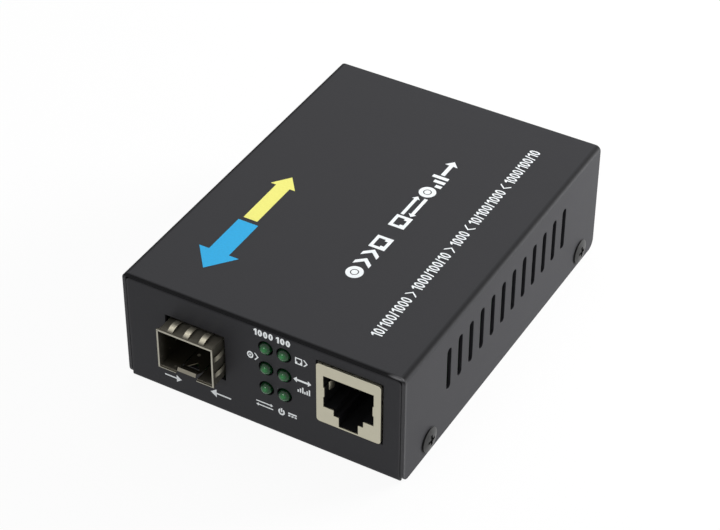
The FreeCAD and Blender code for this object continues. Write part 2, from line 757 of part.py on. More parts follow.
def cage_shell():
    """Folded cage: top, side and rear walls, with feet that stand on the board and pins through it."""
    body = new_body("sfp_cage_shell")
    inside = "(cage_half - cage_sheet)"
    ceiling = "(cage_top - cage_sheet)"
    walls = new_sketch(body, "cage_walls", "XZ", "cage_x", "0", "-cage_front")
    outline(walls, [("-cage_half", "cage_bottom"), ("-cage_half", "cage_top"),
                    ("cage_half", "cage_top"), ("cage_half", "cage_bottom"), (inside, "cage_bottom"),
                    (inside, ceiling), ("-" + inside, ceiling), ("-" + inside, "cage_bottom")])
    pad(body, walls, "cage_length", reverse=True)
    round_edges(body, "cage_bends", "cage_corner", "Y",
                [("cage_x - cage_half", "cage_top"), ("cage_x + cage_half", "cage_top")])
    rear = new_sketch(body, "cage_rear_wall", "XZ", "cage_x", "cage_middle - cage_sheet / 2",
                      "-cage_rear")
    rectangle(rear, "2 * " + inside, "cage_height - cage_sheet")
    pad(body, rear, "cage_sheet")
    for side, x in (("left", "cage_x - cage_half"), ("right", "cage_x + " + inside)):
        feet = new_sketch(body, side + "_cage_feet", "YZ", "0", "0", x)
        for number in range(int(size("cage_pin_count"))):
            y = "(cage_front + cage_pin_first + %d * cage_pin_pitch)" % number
            foot = [("cage_foot_width / 2", "cage_bottom"), ("cage_foot_width / 2", "board_top"),
                    ("cage_pin_width / 2", "board_top"),
                    ("cage_pin_width / 2", "board_top - cage_pin_length")]
            outline(feet, [("%s + %s" % (y, reach), height) for reach, height in foot]
                    + [("%s - %s" % (y, reach), height) for reach, height in reversed(foot)])
        pad(body, feet, "cage_sheet")
    return body


def cage_base():
    """Bottom plate of the cage, with a springy tongue that catches the module's latch."""
    body = new_body("sfp_cage_base")
    floor = "(cage_bottom + cage_sheet)"
    plate_front = "(cage_front + cage_floor_setback)"
    plate_rear = "(host_front - cage_floor_end_gap)"
    plate = new_sketch(body, "cage_floor", "XY", "cage_x", "(%s + %s) / 2" % (plate_front, plate_rear),
                       "cage_bottom")
    rectangle(plate, "cage_width - 2 * cage_sheet", "%s - %s" % (plate_rear, plate_front))
    pad(body, plate, "cage_sheet")
    clearing = new_sketch(body, "tongue_clearing", "XY", "cage_x",
                          "%s + tongue_length / 2" % plate_front, floor)
    rectangle(clearing, "tongue_width + 2 * tongue_slit", "tongue_length")
    pocket(body, clearing, "cage_sheet")
    tip = "(cage_front + tongue_setback)"
    crest = "(%s + tongue_lip)" % tip
    foot = "(%s + tongue_ramp)" % crest
    root = "(%s + tongue_length)" % plate_front
    lip_edge = "%s + tongue_lip_gap" % floor
    crest_inside = "%s + tongue_rise - cage_sheet * (1 + tongue_rise / tongue_ramp)" % floor
    tongue = new_sketch(body, "tongue", "YZ", "0", "0", "cage_x")
    outline(tongue, [(tip, lip_edge), (crest, "%s + tongue_rise" % floor), (foot, floor), (root, floor),
                     (root, "cage_bottom"), (foot, "cage_bottom"),
                     ("%s + cage_sheet" % crest, crest_inside), ("%s + cage_sheet" % tip, lip_edge)])
    pad(body, tongue, "tongue_width", symmetric=True)
    latch = new_sketch(body, "latch_hole", "XY", "cage_x", "%s + latch_hole_setback" % tip, floor)
    outline(latch, [("-latch_hole_width / 2", "0"), ("latch_hole_width / 2", "0"),
                    ("0", "latch_hole_length")])
    pocket(body, latch, "cage_sheet")
    return body


def bowed_strip(sketch, root, rise, out_axis, sign):
    """Draw a finger's edge: two arcs about one centre, from its root over its bow to its tip."""
    middle = "(%s + finger_length / 2)" % root
    bow = "((finger_length ^ 2 / 4 + %s ^ 2) / 2 / %s)" % (rise, rise)
    depth = "%s(%s - %s)" % (sign, rise, bow)
    out = FreeCAD.Vector(1, 0, 0) if out_axis == "X" else FreeCAD.Vector(0, 1, 0)
    along = FreeCAD.Vector(0, 1, 0) if out_axis == "X" else FreeCAD.Vector(1, 0, 0)
    depth_distance, along_distance, end_kind = (
        ("DistanceX", "DistanceY", "Horizontal") if out_axis == "X"
        else ("DistanceY", "DistanceX", "Vertical"))
    centre = along * size(middle) + out * size(depth)
    upward = out * (-1 if sign else 1)
    out_angle = math.atan2(upward.y, upward.x)
    arcs = []
    for reach in ("0", "collar_sheet"):
        radius = "%s + %s" % (bow, reach)
        spread = math.asin(size("finger_length") / 2 / size(radius))
        curve = Part.Circle(centre, FreeCAD.Vector(0, 0, 1), size(radius))
        arc = sketch.addGeometry(Part.ArcOfCircle(curve, out_angle - spread, out_angle + spread), False)
        number = sketch.addConstraint(Sketcher.Constraint("Radius", arc, size(radius)))
        sketch.setExpression("Constraints[%d]" % number, formula(radius))
        hold(sketch, depth_distance, arc, 3, depth)
        hold(sketch, along_distance, arc, 3, middle)
        arcs.append(arc)
    for point in (1, 2):
        inner, outer = [sketch.getPoint(arc, point) for arc in arcs]
        line = sketch.addGeometry(Part.LineSegment(inner, outer), False)
        sketch.addConstraint(Sketcher.Constraint("Coincident", arcs[0], point, line, 1))
        sketch.addConstraint(Sketcher.Constraint("Coincident", arcs[1], point, line, 2))
        sketch.addConstraint(Sketcher.Constraint(end_kind, line))
        at_root = (inner - centre).dot(along) < 0
        hold(sketch, along_distance, line, 1, root if at_root else "%s + finger_length" % root)


def spring_collar():
    """Thin collar round the cage's mouth, with bowed fingers that press on the panel's opening."""
    body = new_body("sfp_spring_collar")
    band = new_sketch(body, "collar_band_ring", "XZ", "cage_x", "cage_middle", "-cage_front")
    rectangle(band, "cage_width", "cage_height")
    rectangle(band, "cage_width + 2 * collar_sheet", "cage_height + 2 * collar_sheet")
    pad(body, band, "collar_band", reverse=True)
    passage = new_sketch(body, "tongue_passage", "XZ", "cage_x", "cage_bottom - collar_sheet / 2",
                         "-cage_front")
    rectangle(passage, "tongue_width + 2 * tongue_slit", "collar_sheet")
    pocket(body, passage, "collar_band")
    root = "(cage_front + collar_band)"
    for name, sign, surface, rise, steps in (
            ("top", "", "cage_top", "top_finger_rise", ("-finger_pitch", "+0", "+finger_pitch")),
            ("bottom", "-", "cage_bottom", "bottom_finger_rise",
             ("-bottom_finger_span / 2", "+bottom_finger_span / 2"))):
        for number, step in enumerate(steps):
            bow = new_sketch(body, "%s_finger_%d" % (name, number + 1), "YZ", "0", surface,
                             "cage_x " + step)
            bowed_strip(bow, root, rise, "Y", sign)
            pad(body, bow, "finger_width", symmetric=True)
    for name, sign in (("left", "-"), ("right", "")):
        for number, step in enumerate(("-", "")):
            z = "cage_middle %s side_finger_pitch / 2" % (step or "+")
            bow = new_sketch(body, "%s_finger_%d" % (name, number + 1), "XY",
                             "cage_x + %scage_width / 2" % sign, "0", z)
            bowed_strip(bow, root, "side_finger_rise", "X", sign)
            pad(body, bow, "finger_width", symmetric=True)
    return body


def host_connector():
    """Board connector inside the cage, with a slot for the module's card edge."""
    body = new_body("sfp_connector_housing")
    block = new_sketch(body, "host_block", "XY", "cage_x", "host_front + host_length / 2",
                       "board_top")
    rectangle(block, "host_width", "host_length")
    pad(body, block, "host_height")
    round_edges(body, "host_lead_in_edge", "host_lead_in", "X",
                [("host_front", "board_top + host_height")])
    slot = new_sketch(body, "host_slot", "XZ", "cage_x", "board_top + host_slot_middle",
                      "-host_front")
    rectangle(slot, "host_slot_width", "host_slot_height")
    pocket(body, slot, "host_slot_depth")
    return body


def host_contacts():
    """Twenty contacts of the board connector: strips in its slot and tails on the board behind."""
    body = new_body("sfp_connector_contacts")
    rear = "host_rear"
    knee = "(host_rear + host_tail_shoulder)"
    tip = "(%s + host_tail_foot)" % knee
    thick = "host_pin_thickness"
    first = "cage_x - host_pin_pitch * (host_pin_count - 1) / 2"
    tails = new_sketch(body, "host_tails", "YZ", "0", "board_top", first)
    outline(tails, [(rear, "host_tail_height"), (rear, "host_tail_height - " + thick),
                    (knee, "host_tail_height - " + thick), (knee, "0"), (tip, "0"), (tip, thick),
                    ("%s + %s" % (knee, thick), thick), ("%s + %s" % (knee, thick), "host_tail_height")])
    inner = new_sketch(body, "host_strips", "YZ", "0", "board_top + host_slot_middle", first)
    for sign in ("-", ""):
        wall = "%shost_slot_height / 2" % sign
        face = "%s(host_slot_height / 2 - %s)" % (sign, thick)
        start, end = "host_front + host_strip_setback", "host_front + host_slot_depth"
        outline(inner, [(start, wall), (end, wall), (end, face), (start, face)])
    features = [pad(body, tails, "host_pin_width", symmetric=True),
                pad(body, inner, "host_pin_width", symmetric=True)]
    row_of(body, features, "X", "host_pin_count", "host_pin_pitch * (host_pin_count - 1)")
    return body


def socket_corners():
    """List the corners of the jack's opening, from its left rib round its stepped latch slot."""
    rib_low = "(guide_rib_middle - guide_rib_height / 2)"
    rib_high = "(guide_rib_middle + guide_rib_height / 2)"
    half = [("latch_width / 2", "latch_bottom"), ("latch_width / 2", "step_bottom"),
            ("step_width / 2", "step_bottom"), ("step_width / 2", "socket_bottom"),
            ("socket_width / 2", "socket_bottom"), ("socket_width / 2", rib_low),
            ("socket_width / 2 - guide_rib", rib_low), ("socket_width / 2 - guide_rib", rib_high),
            ("socket_width / 2", rib_high), ("socket_width / 2", "socket_top")]
    return half + [("-(%s)" % x, z) for x, z in reversed(half)]


def jack_shield():
    """Plated steel shell of the jack, open below, with the stepped opening in its front face."""
    body = new_body("rj45_shield")
    block = new_sketch(body, "shield_block", "XZ", "jack_x", "jack_bottom + jack_height / 2",
                       "-jack_front")
    rectangle(block, "jack_width", "jack_height")
    pad(body, block, "jack_length", reverse=True)
    sides = ("jack_x - jack_width / 2", "jack_x + jack_width / 2")
    round_edges(body, "shield_corners", "jack_corner", "Y",
                [(x, z) for x in sides for z in ("jack_bottom", "jack_top")])
    hollow = new_sketch(body, "shield_hollow", "XY", "jack_x", "jack_front + jack_length / 2",
                        "jack_bottom")
    rectangle(hollow, "jack_width - 2 * jack_sheet", "jack_length - 2 * jack_sheet")
    pocket(body, hollow, "jack_height - jack_sheet", reverse=True)
    round_edges(body, "shield_inner_bends", "jack_corner - jack_sheet", "Y",
                [("jack_x - jack_width / 2 + jack_sheet", "jack_top - jack_sheet"),
                 ("jack_x + jack_width / 2 - jack_sheet", "jack_top - jack_sheet")])
    opening = new_sketch(body, "shield_opening", "XZ", "jack_x", "jack_bottom", "-jack_front")
    outline(opening, socket_corners())
    pocket(body, opening, "jack_sheet")
    return body


def jack_housing():
    """Moulded insert of the jack, with the stepped socket."""
    body = new_body("rj45_housing")
    gap = "(jack_sheet + housing_gap)"
    block = new_sketch(body, "housing_block", "XZ", "jack_x",
                       "(board_top + jack_top - %s) / 2" % gap, "-(jack_front + jack_sheet)")
    rectangle(block, "jack_width - 2 * %s" % gap, "jack_top - %s - board_top" % gap)
    pad(body, block, "jack_length - jack_sheet - " + gap, reverse=True)
    round_edges(body, "housing_top_corners", "jack_corner - jack_sheet", "Y",
                [("jack_x - jack_width / 2 + " + gap, "jack_top - %s" % gap),
                 ("jack_x + jack_width / 2 - " + gap, "jack_top - %s" % gap)])
    socket = new_sketch(body, "socket", "XZ", "jack_x", "jack_bottom", "-(jack_front + jack_sheet)")
    outline(socket, socket_corners())
    pocket(body, socket, "socket_depth")
    return body


def jack_contacts():
    """Sprung wires folded back from the socket's ceiling, one for each contact of the plug."""
    body = new_body("rj45_contacts")
    rear = "(jack_front + jack_sheet + socket_depth)"
    fold = "(jack_front + jack_sheet + jack_pin_setback)"
    tip = "(%s - jack_pin_tip_gap)" % rear
    thick = "jack_pin_width"
    span = "jack_pin_pitch * (jack_pin_count - 1)"
    wire = new_sketch(body, "contact_wire", "YZ", "0", "jack_bottom + socket_top",
                      "jack_x - %s / 2" % span)
    outline(wire, [(rear, "0"), (fold, "0"), (fold, "-" + thick), (tip, "-jack_pin_dip - " + thick),
                   (tip, "-jack_pin_dip"), ("%s + jack_pin_bend + %s" % (fold, thick), "-" + thick),
                   (rear, "-" + thick)])
    first = pad(body, wire, "jack_pin_width", symmetric=True)
    row_of(body, [first], "X", "jack_pin_count", span)
    return body


def lamp(name, column, row):
    """Round-nosed green lamp, with a flange at its foot."""
    body = new_body(name)
    half = new_sketch(body, name + "_half", "YZ", "lamp_front", "lamp_level + " + row,
                      "lamp_x + " + column)
    radius, foot = "lamp_diameter / 2", "lamp_flange / 2"
    shoulder = "lamp_length - lamp_flange_thickness"
    nosed_outline(half, [("0", "0"), ("lamp_length", "0"), ("lamp_length", foot), (shoulder, foot),
                         (shoulder, radius), (radius, radius)], radius)
    revolve(body, half, "H_Axis")
    return body


def lamp_holder():
    """Moulded block with a square cell for each lamp, at the right heights above the board."""
    body = new_body("led_holder")
    top = "(lamp_level + lamp_row_pitch + lamp_holder_margin)"
    block = new_sketch(body, "holder_block", "XZ", "lamp_x", "(board_top + %s) / 2" % top,
                       "-holder_front")
    rectangle(block, "lamp_column_pitch + 2 * lamp_holder_margin", "%s - board_top" % top)
    pad(body, block, "lamp_holder_length", reverse=True)
    for number, (column, row) in enumerate(lamp_grid()):
        for name, width, height, depth in (
                ("cell", "lamp_flange + 2 * lamp_seat_gap", "lamp_flange + 2 * lamp_seat_gap",
                 "lamp_rear - holder_front"),
                ("passage", "lead_pitch + lead_passage", "lead_passage", "lamp_holder_length")):
            hole = new_sketch(body, "%s_%d" % (name, number + 1), "XZ", "lamp_x + " + column,
                              "lamp_level + " + row, "-holder_front")
            rectangle(hole, width, height)
            pocket(body, hole, depth)
    return body


def lead_bend(level):
    """Place along Y where the leads of a row of lamps turn down to the board."""
    return "(holder_front + lamp_holder_length + %d * lead_bend_spacing)" % (level + 1)


def lamp_leads():
    """Lamp leads: two a lamp, back through the holder and down through the board."""
    pairs = []
    for number, (column, row) in enumerate(lamp_grid()):
        body = new_body("lamp_lead_pair_%d" % (number + 1))
        rear = lead_bend(number // 2)
        path = new_sketch(body, "lead_path_%d" % (number + 1), "YZ", "0",
                          "lamp_level + " + row, "lamp_x + %s - lead_pitch / 2" % column)
        foot = "-(lamp_level + %s - board_bottom + lead_tail)" % row
        half = "lead_size / 2"
        outline(path, [("lamp_rear", half), ("%s + %s" % (rear, half), half),
                       ("%s + %s" % (rear, half), foot), ("%s - %s" % (rear, half), foot),
                       ("%s - %s" % (rear, half), "-" + half), ("lamp_rear", "-" + half)])
        first = pad(body, path, "lead_size", symmetric=True)
        row_of(body, [first], "X", "2", "lead_pitch")
        pairs.append(body)
    return compound("led_leads", pairs)


def power_inlet():
    """Moulded jack of the power inlet: a square nose in the panel and a round barrel behind it."""
    body = new_body("dc_jack_housing")
    nose = new_sketch(body, "inlet_nose_block", "XZ", "inlet_x", "board_top + inlet_height / 2",
                      "-inlet_rear")
    rectangle(nose, "inlet_width", "inlet_height")
    pad(body, nose, "inlet_nose")
    sides = ("inlet_x - inlet_width / 2", "inlet_x + inlet_width / 2")
    round_edges(body, "inlet_nose_corners", "inlet_corner", "Y",
                [(x, "board_top + inlet_height") for x in sides])
    barrel = new_sketch(body, "inlet_barrel_circle", "XZ", "inlet_x", "inlet_centre",
                        "-(inlet_rear - inlet_nose)")
    circle(barrel, "inlet_barrel")
    pad(body, barrel, "inlet_length - inlet_nose")
    cradle = new_sketch(body, "inlet_cradle", "XZ", "inlet_x",
                        "(board_top + inlet_centre) / 2", "-(inlet_rear - inlet_nose)")
    rectangle(cradle, "inlet_width", "inlet_bore_height")
    pad(body, cradle, "inlet_length - inlet_nose")
    bore = new_sketch(body, "inlet_bore_circle", "XZ", "inlet_x", "inlet_centre", "-inlet_rear")
    circle(bore, "inlet_bore")
    pocket(body, bore, "inlet_bore_depth", reverse=True)
    pin = new_sketch(body, "inlet_pin_hole", "XZ", "inlet_x", "inlet_centre", "-inlet_rear")
    circle(pin, "inlet_pin + 2 * inlet_pin_gap")
    pocket(body, pin, "inlet_length", reverse=True)
    return body


def inlet_pin():
    """Centre pin of the power inlet, with its blade down to the board."""
    body = new_body("dc_jack_pin")
    root = "(inlet_rear - inlet_length)"
    rod = new_sketch(body, "pin_rod", "XZ", "inlet_x", "inlet_centre", "-" + root)
    circle(rod, "inlet_pin")
    pad(body, rod, "inlet_length - inlet_pin_setback", reverse=True)
    dress(body, "Chamfer", "pin_nose", "inlet_pin / 4",
          edges_level(body.Tip.Shape, "Y", "inlet_rear - inlet_pin_setback"))
    blade = new_sketch(body, "pin_blade", "XZ", "inlet_x", "0", "-" + root)
    outline(blade, [("-inlet_pin / 2", "inlet_centre + inlet_pin"),
                    ("-inlet_pin / 2", "board_top - inlet_blade_length"),
                    ("inlet_pin / 2", "board_top - inlet_blade_length"),
                    ("inlet_pin / 2", "inlet_centre + inlet_pin")])
    pad(body, blade, "inlet_blade_sheet")
    return body


def inlet_spring():
    """Sleeve contact of the power inlet: a leaf that rises from the end of the bore's floor."""
    body = new_body("dc_jack_spring")
    floor = "(inlet_centre - inlet_bore / 2 + inlet_leaf_gap)"
    root = "(inlet_rear - inlet_bore_depth)"
    tip = "(%s + inlet_leaf_length)" % root
    leaf = new_sketch(body, "spring_leaf", "YZ", "0", "0", "inlet_x")
    outline(leaf, [(root, floor), (tip, floor + " + inlet_leaf_rise"),
                   (tip, floor + " + inlet_leaf_rise + inlet_leaf_sheet"),
                   (root, floor + " + inlet_leaf_sheet")])
    pad(body, leaf, "inlet_pin", symmetric=True)
    return body


def place_on_board(body, x, y):
    """Stand a body, built about its own origin, on the board."""
    body.setExpression("Placement.Base.x", formula(x))
    body.setExpression("Placement.Base.y", formula(y))
    body.setExpression("Placement.Base.z", formula("board_top"))


def moulded_block(name, x, y, width, length, height, stand_off="chip_stand"):
    """Moulded package: a block with bevelled top edges, standing a little off the board."""
    body = new_body(name)
    base = new_sketch(body, name + "_base", "XY", "0", "0", stand_off)
    rectangle(base, width, length)
    pad(body, base, "%s - %s" % (height, stand_off))
    dress(body, "Chamfer", name + "_bevel", "chip_bevel", edges_level(body.Tip.Shape, "Z", height))
    place_on_board(body, x, y)
    return body


def gull_wing(half, height):
    """Outline a bent lead from a package's side, at a height, out and down to the board."""
    sheet_up = "(%s + lead_sheet)" % height
    foot = "(%s + lead_shoulder)" % half
    tip = "(%s + lead_shoulder + lead_foot)" % half
    return [(half, height), ("%s - lead_sheet" % foot, height), (foot + " - lead_sheet", "0"),
            (tip, "0"), (tip, "lead_sheet"), (foot, "lead_sheet"), (foot, sheet_up), (half, sheet_up)]


def side_leads(name, x, y, width, height, count, pitch, lead_width):
    """Rows of bent leads down the two long sides of a package."""
    body = new_body(name)
    row = new_sketch(body, name + "_profile", "XZ", "0", "0", "(%s) * (%s - 1) / 2" % (pitch, count))
    right = gull_wing("((%s) / 2)" % width, "((%s) / 3)" % height)
    outline(row, right)
    outline(row, [("-(%s)" % across, up) for across, up in right])
    first = pad(body, row, lead_width, symmetric=True)
    row_of(body, [first], "Y", count, "(%s) * (%s - 1)" % (pitch, count))
    place_on_board(body, x, y)
    return body


def switch_chip_leads():
    """Leads on all four sides of the converter chip."""
    body = new_body("converter_chip_leads")
    profile = gull_wing("(switch_chip_size / 2)", "(switch_chip_height / 3)")
    offset = "switch_pin_pitch * (switch_pin_count - 1) / 2"
    rows = (("XZ", "Y", offset), ("YZ", "X", "-" + offset))
    for plane, axis, out in rows:
        sketch = new_sketch(body, "chip_leads_along_" + axis, plane, "0", "0", out)
        outline(sketch, profile)
        outline(sketch, [("-(%s)" % across, up) for across, up in profile])
        first = pad(body, sketch, "switch_pin_pitch / 2", symmetric=True)
        row_of(body, [first], axis, "switch_pin_count", "2 * " + offset)
    place_on_board(body, "switch_chip_x", "switch_chip_y")
    return body


def smoothing_capacitors():
    """Two aluminium can capacitors on square plastic feet."""
    body = new_body("smoothing_capacitors")
    foot = new_sketch(body, "can_foot", "XY")
    rectangle(foot, "can_diameter + 2 * can_margin", "can_diameter + 2 * can_margin")
    can = new_sketch(body, "can_circle", "XY", "0", "0", "can_foot_height")
    foot_pad = pad(body, foot, "can_foot_height")
    circle(can, "can_diameter")
    can_pad = pad(body, can, "can_height - can_foot_height")
    row_of(body, [foot_pad, can_pad], "X", "2", "can_pitch")
    place_on_board(body, "can_x - can_pitch", "board_rear - can_setback")
    return body


def power_inductor():
    """Shielded coil: a square ferrite block with rounded corners and its round core on top."""
    body = new_body("power_inductor")
    block = new_sketch(body, "coil_block", "XY")
    rectangle(block, "coil_size", "coil_size")
    pad(body, block, "coil_height - coil_core_height")
    half = "coil_size / 2"
    round_edges(body, "coil_corners", "coil_corner", "Z",
                both_sides(half, half) + both_sides(half, "-" + half))
    core = new_sketch(body, "coil_core_circle", "XY", "0", "0", "coil_height - coil_core_height")
    circle(core, "coil_core")
    pad(body, core, "coil_core_height")
    place_on_board(body, "coil_x", "board_rear - coil_setback")
    return body


def crystal_can():
    """Low metal can of the clock crystal, round-ended, on its flange."""
    body = new_body("crystal_can")
    for name, margin, height in (("crystal_foot", "2 * crystal_flange", "crystal_flange_sheet"),
                                 ("crystal_cover", "0", "crystal_height")):
        sketch = new_sketch(body, name, "XY")
        long_slot(sketch, "crystal_width + " + margin, "crystal_length + " + margin)
        pad(body, sketch, height)
    place_on_board(body, "board_half - crystal_inset", "crystal_y")
    return body


def input_diode():
    """Moulded diode with a flat terminal at each end."""
    body = moulded_block("input_diode", "board_half - diode_inset", "board_rear - diode_setback",
                         "diode_width", "diode_length", "diode_height", "lead_sheet")
    strip = new_sketch(body, "diode_terminals", "XY")
    rectangle(strip, "diode_width / 2", "diode_length + 2 * lead_foot")
    pad(body, strip, "lead_sheet")
    return body


def chip_capacitors():
    """Row of small ceramic capacitors."""
    body = new_body("chip_capacitors")
    block = new_sketch(body, "capacitor_block", "XY")
    rectangle(block, "chip_capacitor_width", "chip_capacitor_length")
    first = pad(body, block, "chip_capacitor_height")
    row_of(body, [first], "X", "chip_capacitor_count",
           "chip_capacitor_pitch * (chip_capacitor_count - 1)")
    place_on_board(body, "chip_capacitor_x", "capacitor_row_y")
    return body


def build():
    """Build every piece in the order of assembly, and return them all."""
    pieces = [base_tray(), board_spacers(), main_board(), board_screws(),
              cage_shell(), cage_base(), spring_collar(), host_connector(), host_contacts(),
              jack_shield(), jack_housing(), jack_contacts()]
    pieces += [lamp("led_%d" % (number + 1), column, row)
               for number, (column, row) in enumerate(lamp_grid())]
    pieces += [lamp_holder(), lamp_leads(), power_inlet(), inlet_pin(), inlet_spring(),
               moulded_block("converter_chip", "switch_chip_x", "switch_chip_y", "switch_chip_size",
                             "switch_chip_size", "switch_chip_height"),
               switch_chip_leads(),
               moulded_block("network_transformer", "jack_x", "transformer_y", "transformer_length",
                             "transformer_width", "transformer_height"),
               side_leads("transformer_leads", "jack_x", "transformer_y", "transformer_length",
                          "transformer_height", "transformer_pin_count", "soic_pitch", "lead_width")]
    for name, x, y in (("settings_memory", "memory_x", "memory_y"),
                       ("voltage_regulator", "regulator_x", "board_rear - regulator_setback")):
        pieces += [moulded_block(name, x, y, "soic_width", "soic_length", "soic_height"),
                   side_leads(name + "_leads", x, y, "soic_width", "soic_height", "4", "soic_pitch",
                              "lead_width")]
    pieces += [crystal_can(), smoothing_capacitors(), power_inductor(), input_diode(),
               chip_capacitors(), top_cover(), cover_screws()]
    return pieces


def check(pieces):
    """Stop if any object of the document failed, or any piece isn't a valid solid."""
    for thing in doc.Objects:
        if "Invalid" in thing.State or "Error" in thing.State:
            raise RuntimeError("%s failed" % thing.Name)
    for piece in pieces:
        if piece.Shape.isNull() or not piece.Shape.isValid() or not piece.Shape.Solids:
            raise RuntimeError("%s is not a valid solid" % piece.Label)


pieces = build()
doc.recompute()
check(pieces)
os.makedirs("parts", exist_ok=True)
for piece in pieces:
    piece.Shape.exportStep("parts/%s.step" % piece.Label)
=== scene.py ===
import bpy
import math
from mathutils import Matrix, Vector


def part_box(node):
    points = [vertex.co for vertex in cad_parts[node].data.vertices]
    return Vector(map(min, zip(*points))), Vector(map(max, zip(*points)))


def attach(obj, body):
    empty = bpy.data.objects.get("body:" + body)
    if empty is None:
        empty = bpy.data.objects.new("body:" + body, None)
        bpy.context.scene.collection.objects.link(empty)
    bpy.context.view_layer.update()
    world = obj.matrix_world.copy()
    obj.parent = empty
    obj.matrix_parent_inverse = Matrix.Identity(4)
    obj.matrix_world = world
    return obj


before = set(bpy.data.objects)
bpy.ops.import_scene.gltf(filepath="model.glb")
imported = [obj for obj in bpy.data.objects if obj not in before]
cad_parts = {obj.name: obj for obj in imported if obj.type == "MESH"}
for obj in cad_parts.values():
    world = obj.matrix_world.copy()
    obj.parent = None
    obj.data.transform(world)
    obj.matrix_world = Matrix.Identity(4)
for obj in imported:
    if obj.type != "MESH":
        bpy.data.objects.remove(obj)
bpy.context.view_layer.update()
bpy.ops.object.select_all(action="DESELECT")


# The camera: a long lens a little over half a metre away, to the right of the front corner and
# above it. It is tilted by a fraction of a degree, as a hand-levelled stand is.
mm = 0.001
azimuth, elevation, roll = math.radians(29.635), math.radians(38.928), math.radians(0.313)
rightward_shift, upward_shift, distance = -2.188 * mm, 9.908 * mm, 515.768 * mm
bpy.ops.object.camera_add()
camera = bpy.context.object
camera.name = "studio_camera"
camera.data.lens = 110.911
camera.data.sensor_width = 36
camera.data.clip_start = 0.01
camera.matrix_world = (
    Matrix.Rotation(azimuth, 4, "Z")
    @ Matrix.Rotation(math.pi / 2 - elevation, 4, "X")
    @ Matrix.Rotation(roll, 4, "Z")
    @ Matrix.Translation((rightward_shift, upward_shift, distance)))
bpy.context.scene.camera = camera
bpy.context.scene.view_settings.view_transform = "Standard"


# The table and the light: a white sheet that runs out of sight and an even white tent. A broad
# soft lamp hangs overhead, one stands low to the right and behind, and a weak one in front puts a
# glint on the domes. Seen directly or mirrored, the sheet and the tent are plain white.
def linear(hex_colour):
    """Turn an sRGB hex colour into the linear colour that the shaders take."""
    shares = [int(hex_colour[place:place + 2], 16) / 255 for place in (1, 3, 5)]
    return [s / 12.92 if s <= 0.04045 else ((s + 0.055) / 1.055) ** 2.4 for s in shares] + [1]


def add_node(tree, kind, settings=None, links=None):
    """Add a node: lower-case settings are its own, the others and the links name its sockets."""
    node = tree.nodes.new(kind)
    for name, value in (settings or {}).items():
        if isinstance(name, str) and name.islower():
            setattr(node, name, value)
        else:
            node.inputs[name].default_value = value
    for name, socket in (links or {}).items():
        tree.links.new(socket, node.inputs[name])
    return node


def seen_plainly(tree):
    """Give 1 to rays from the camera or off a mirror, and 0 to those that carry light."""
    ray = add_node(tree, "ShaderNodeLightPath")
    either = add_node(tree, "ShaderNodeMath", {"operation": "MAXIMUM"},
                      {0: ray.outputs["Is Camera Ray"], 1: ray.outputs["Is Glossy Ray"]})
    return add_node(tree, "ShaderNodeMath", {"operation": "MAXIMUM"},
                    {0: either.outputs[0], 1: ray.outputs["Is Transmission Ray"]}).outputs[0]


tent_light = 0.45
tent = bpy.data.worlds.new("white_tent")
tent.use_nodes = True
tent.node_tree.nodes.clear()
light = add_node(tent.node_tree, "ShaderNodeBackground",
                 {"Color": linear("#FFFFFF"), "Strength": tent_light})
white = add_node(tent.node_tree, "ShaderNodeBackground",
                 {"Color": linear("#FFFFFF"), "Strength": 1})
either = add_node(tent.node_tree, "ShaderNodeMixShader", links={
    0: seen_plainly(tent.node_tree), 1: light.outputs[0], 2: white.outputs[0]})
add_node(tent.node_tree, "ShaderNodeOutputWorld", links={"Surface": either.outputs[0]})
bpy.context.scene.world = tent

# The sheet lies just under the case, so that the two don't share one plane. Most of its white, as
# seen, is its own, and the rest is lit, which carries the shadow.
sheet_size, sheet_drop, sheet_glow = 6, 0.05 * mm, 0.93
bpy.ops.mesh.primitive_plane_add(size=sheet_size, location=(0, 0, -sheet_drop))
bpy.ops.object.transform_apply(location=True, rotation=False, scale=False)
table = bpy.context.object
table.name = "table_sheet"
paper = bpy.data.materials.new("matt white paper")
paper.use_nodes = True
paper.node_tree.nodes.clear()
lit = add_node(paper.node_tree, "ShaderNodeBsdfDiffuse", {"Color": linear("#F4F4F4")})
plain = add_node(paper.node_tree, "ShaderNodeEmission",
                 {"Color": linear("#FFFFFF"), "Strength": 1})
keep = add_node(paper.node_tree, "ShaderNodeMath", {"operation": "MULTIPLY", 1: sheet_glow},
                {0: seen_plainly(paper.node_tree)})
paper_mix = add_node(paper.node_tree, "ShaderNodeMixShader", links={
    0: keep.outputs[0], 1: lit.outputs[0], 2: plain.outputs[0]})
add_node(paper.node_tree, "ShaderNodeOutputMaterial", links={"Surface": paper_mix.outputs[0]})
table.data.materials.append(paper)

# For each lamp: its name, its place and size in metres, and its power in watts.
for name, place, size, power in (
        ("overhead_lamp", (-0.14, 0.34, 0.62), 0.45, 1.2),
        ("right_lamp", (0.26, 0.32, 0.10), 0.22, 3.7),
        ("front_lamp", (-0.12, -0.72, 0.36), 0.18, 1.0)):
    bpy.ops.object.light_add(type="AREA", location=place)
    lamp = bpy.context.object
    lamp.name = name
    lamp.data.size = size
    lamp.data.energy = power
    lamp.rotation_euler = (-Vector(place)).to_track_quat("-Z", "Y").to_euler()


# The case: two sheets of cold-rolled steel 0.8 mm thick, cut, folded and powder coated black. The
# baked powder leaves a fine even grain, a low sheen and soft edges. It is matt round the bends,
# which are darkened with painted shade. The cut ends are greyer with a painted highlight, and one
# front corner has a grey painted glint.
def new_material(name):
    """Start a material with only the shader, and give the material, its tree and shader."""
    material = bpy.data.materials.new(name)
    material.use_nodes = True
    return material, material.node_tree, material.node_tree.nodes["Principled BSDF"]


def finish_nodes(material, *names):
    """Give CAD nodes a finish."""
    for name in names:
        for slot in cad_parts[name].material_slots:
            slot.material = material


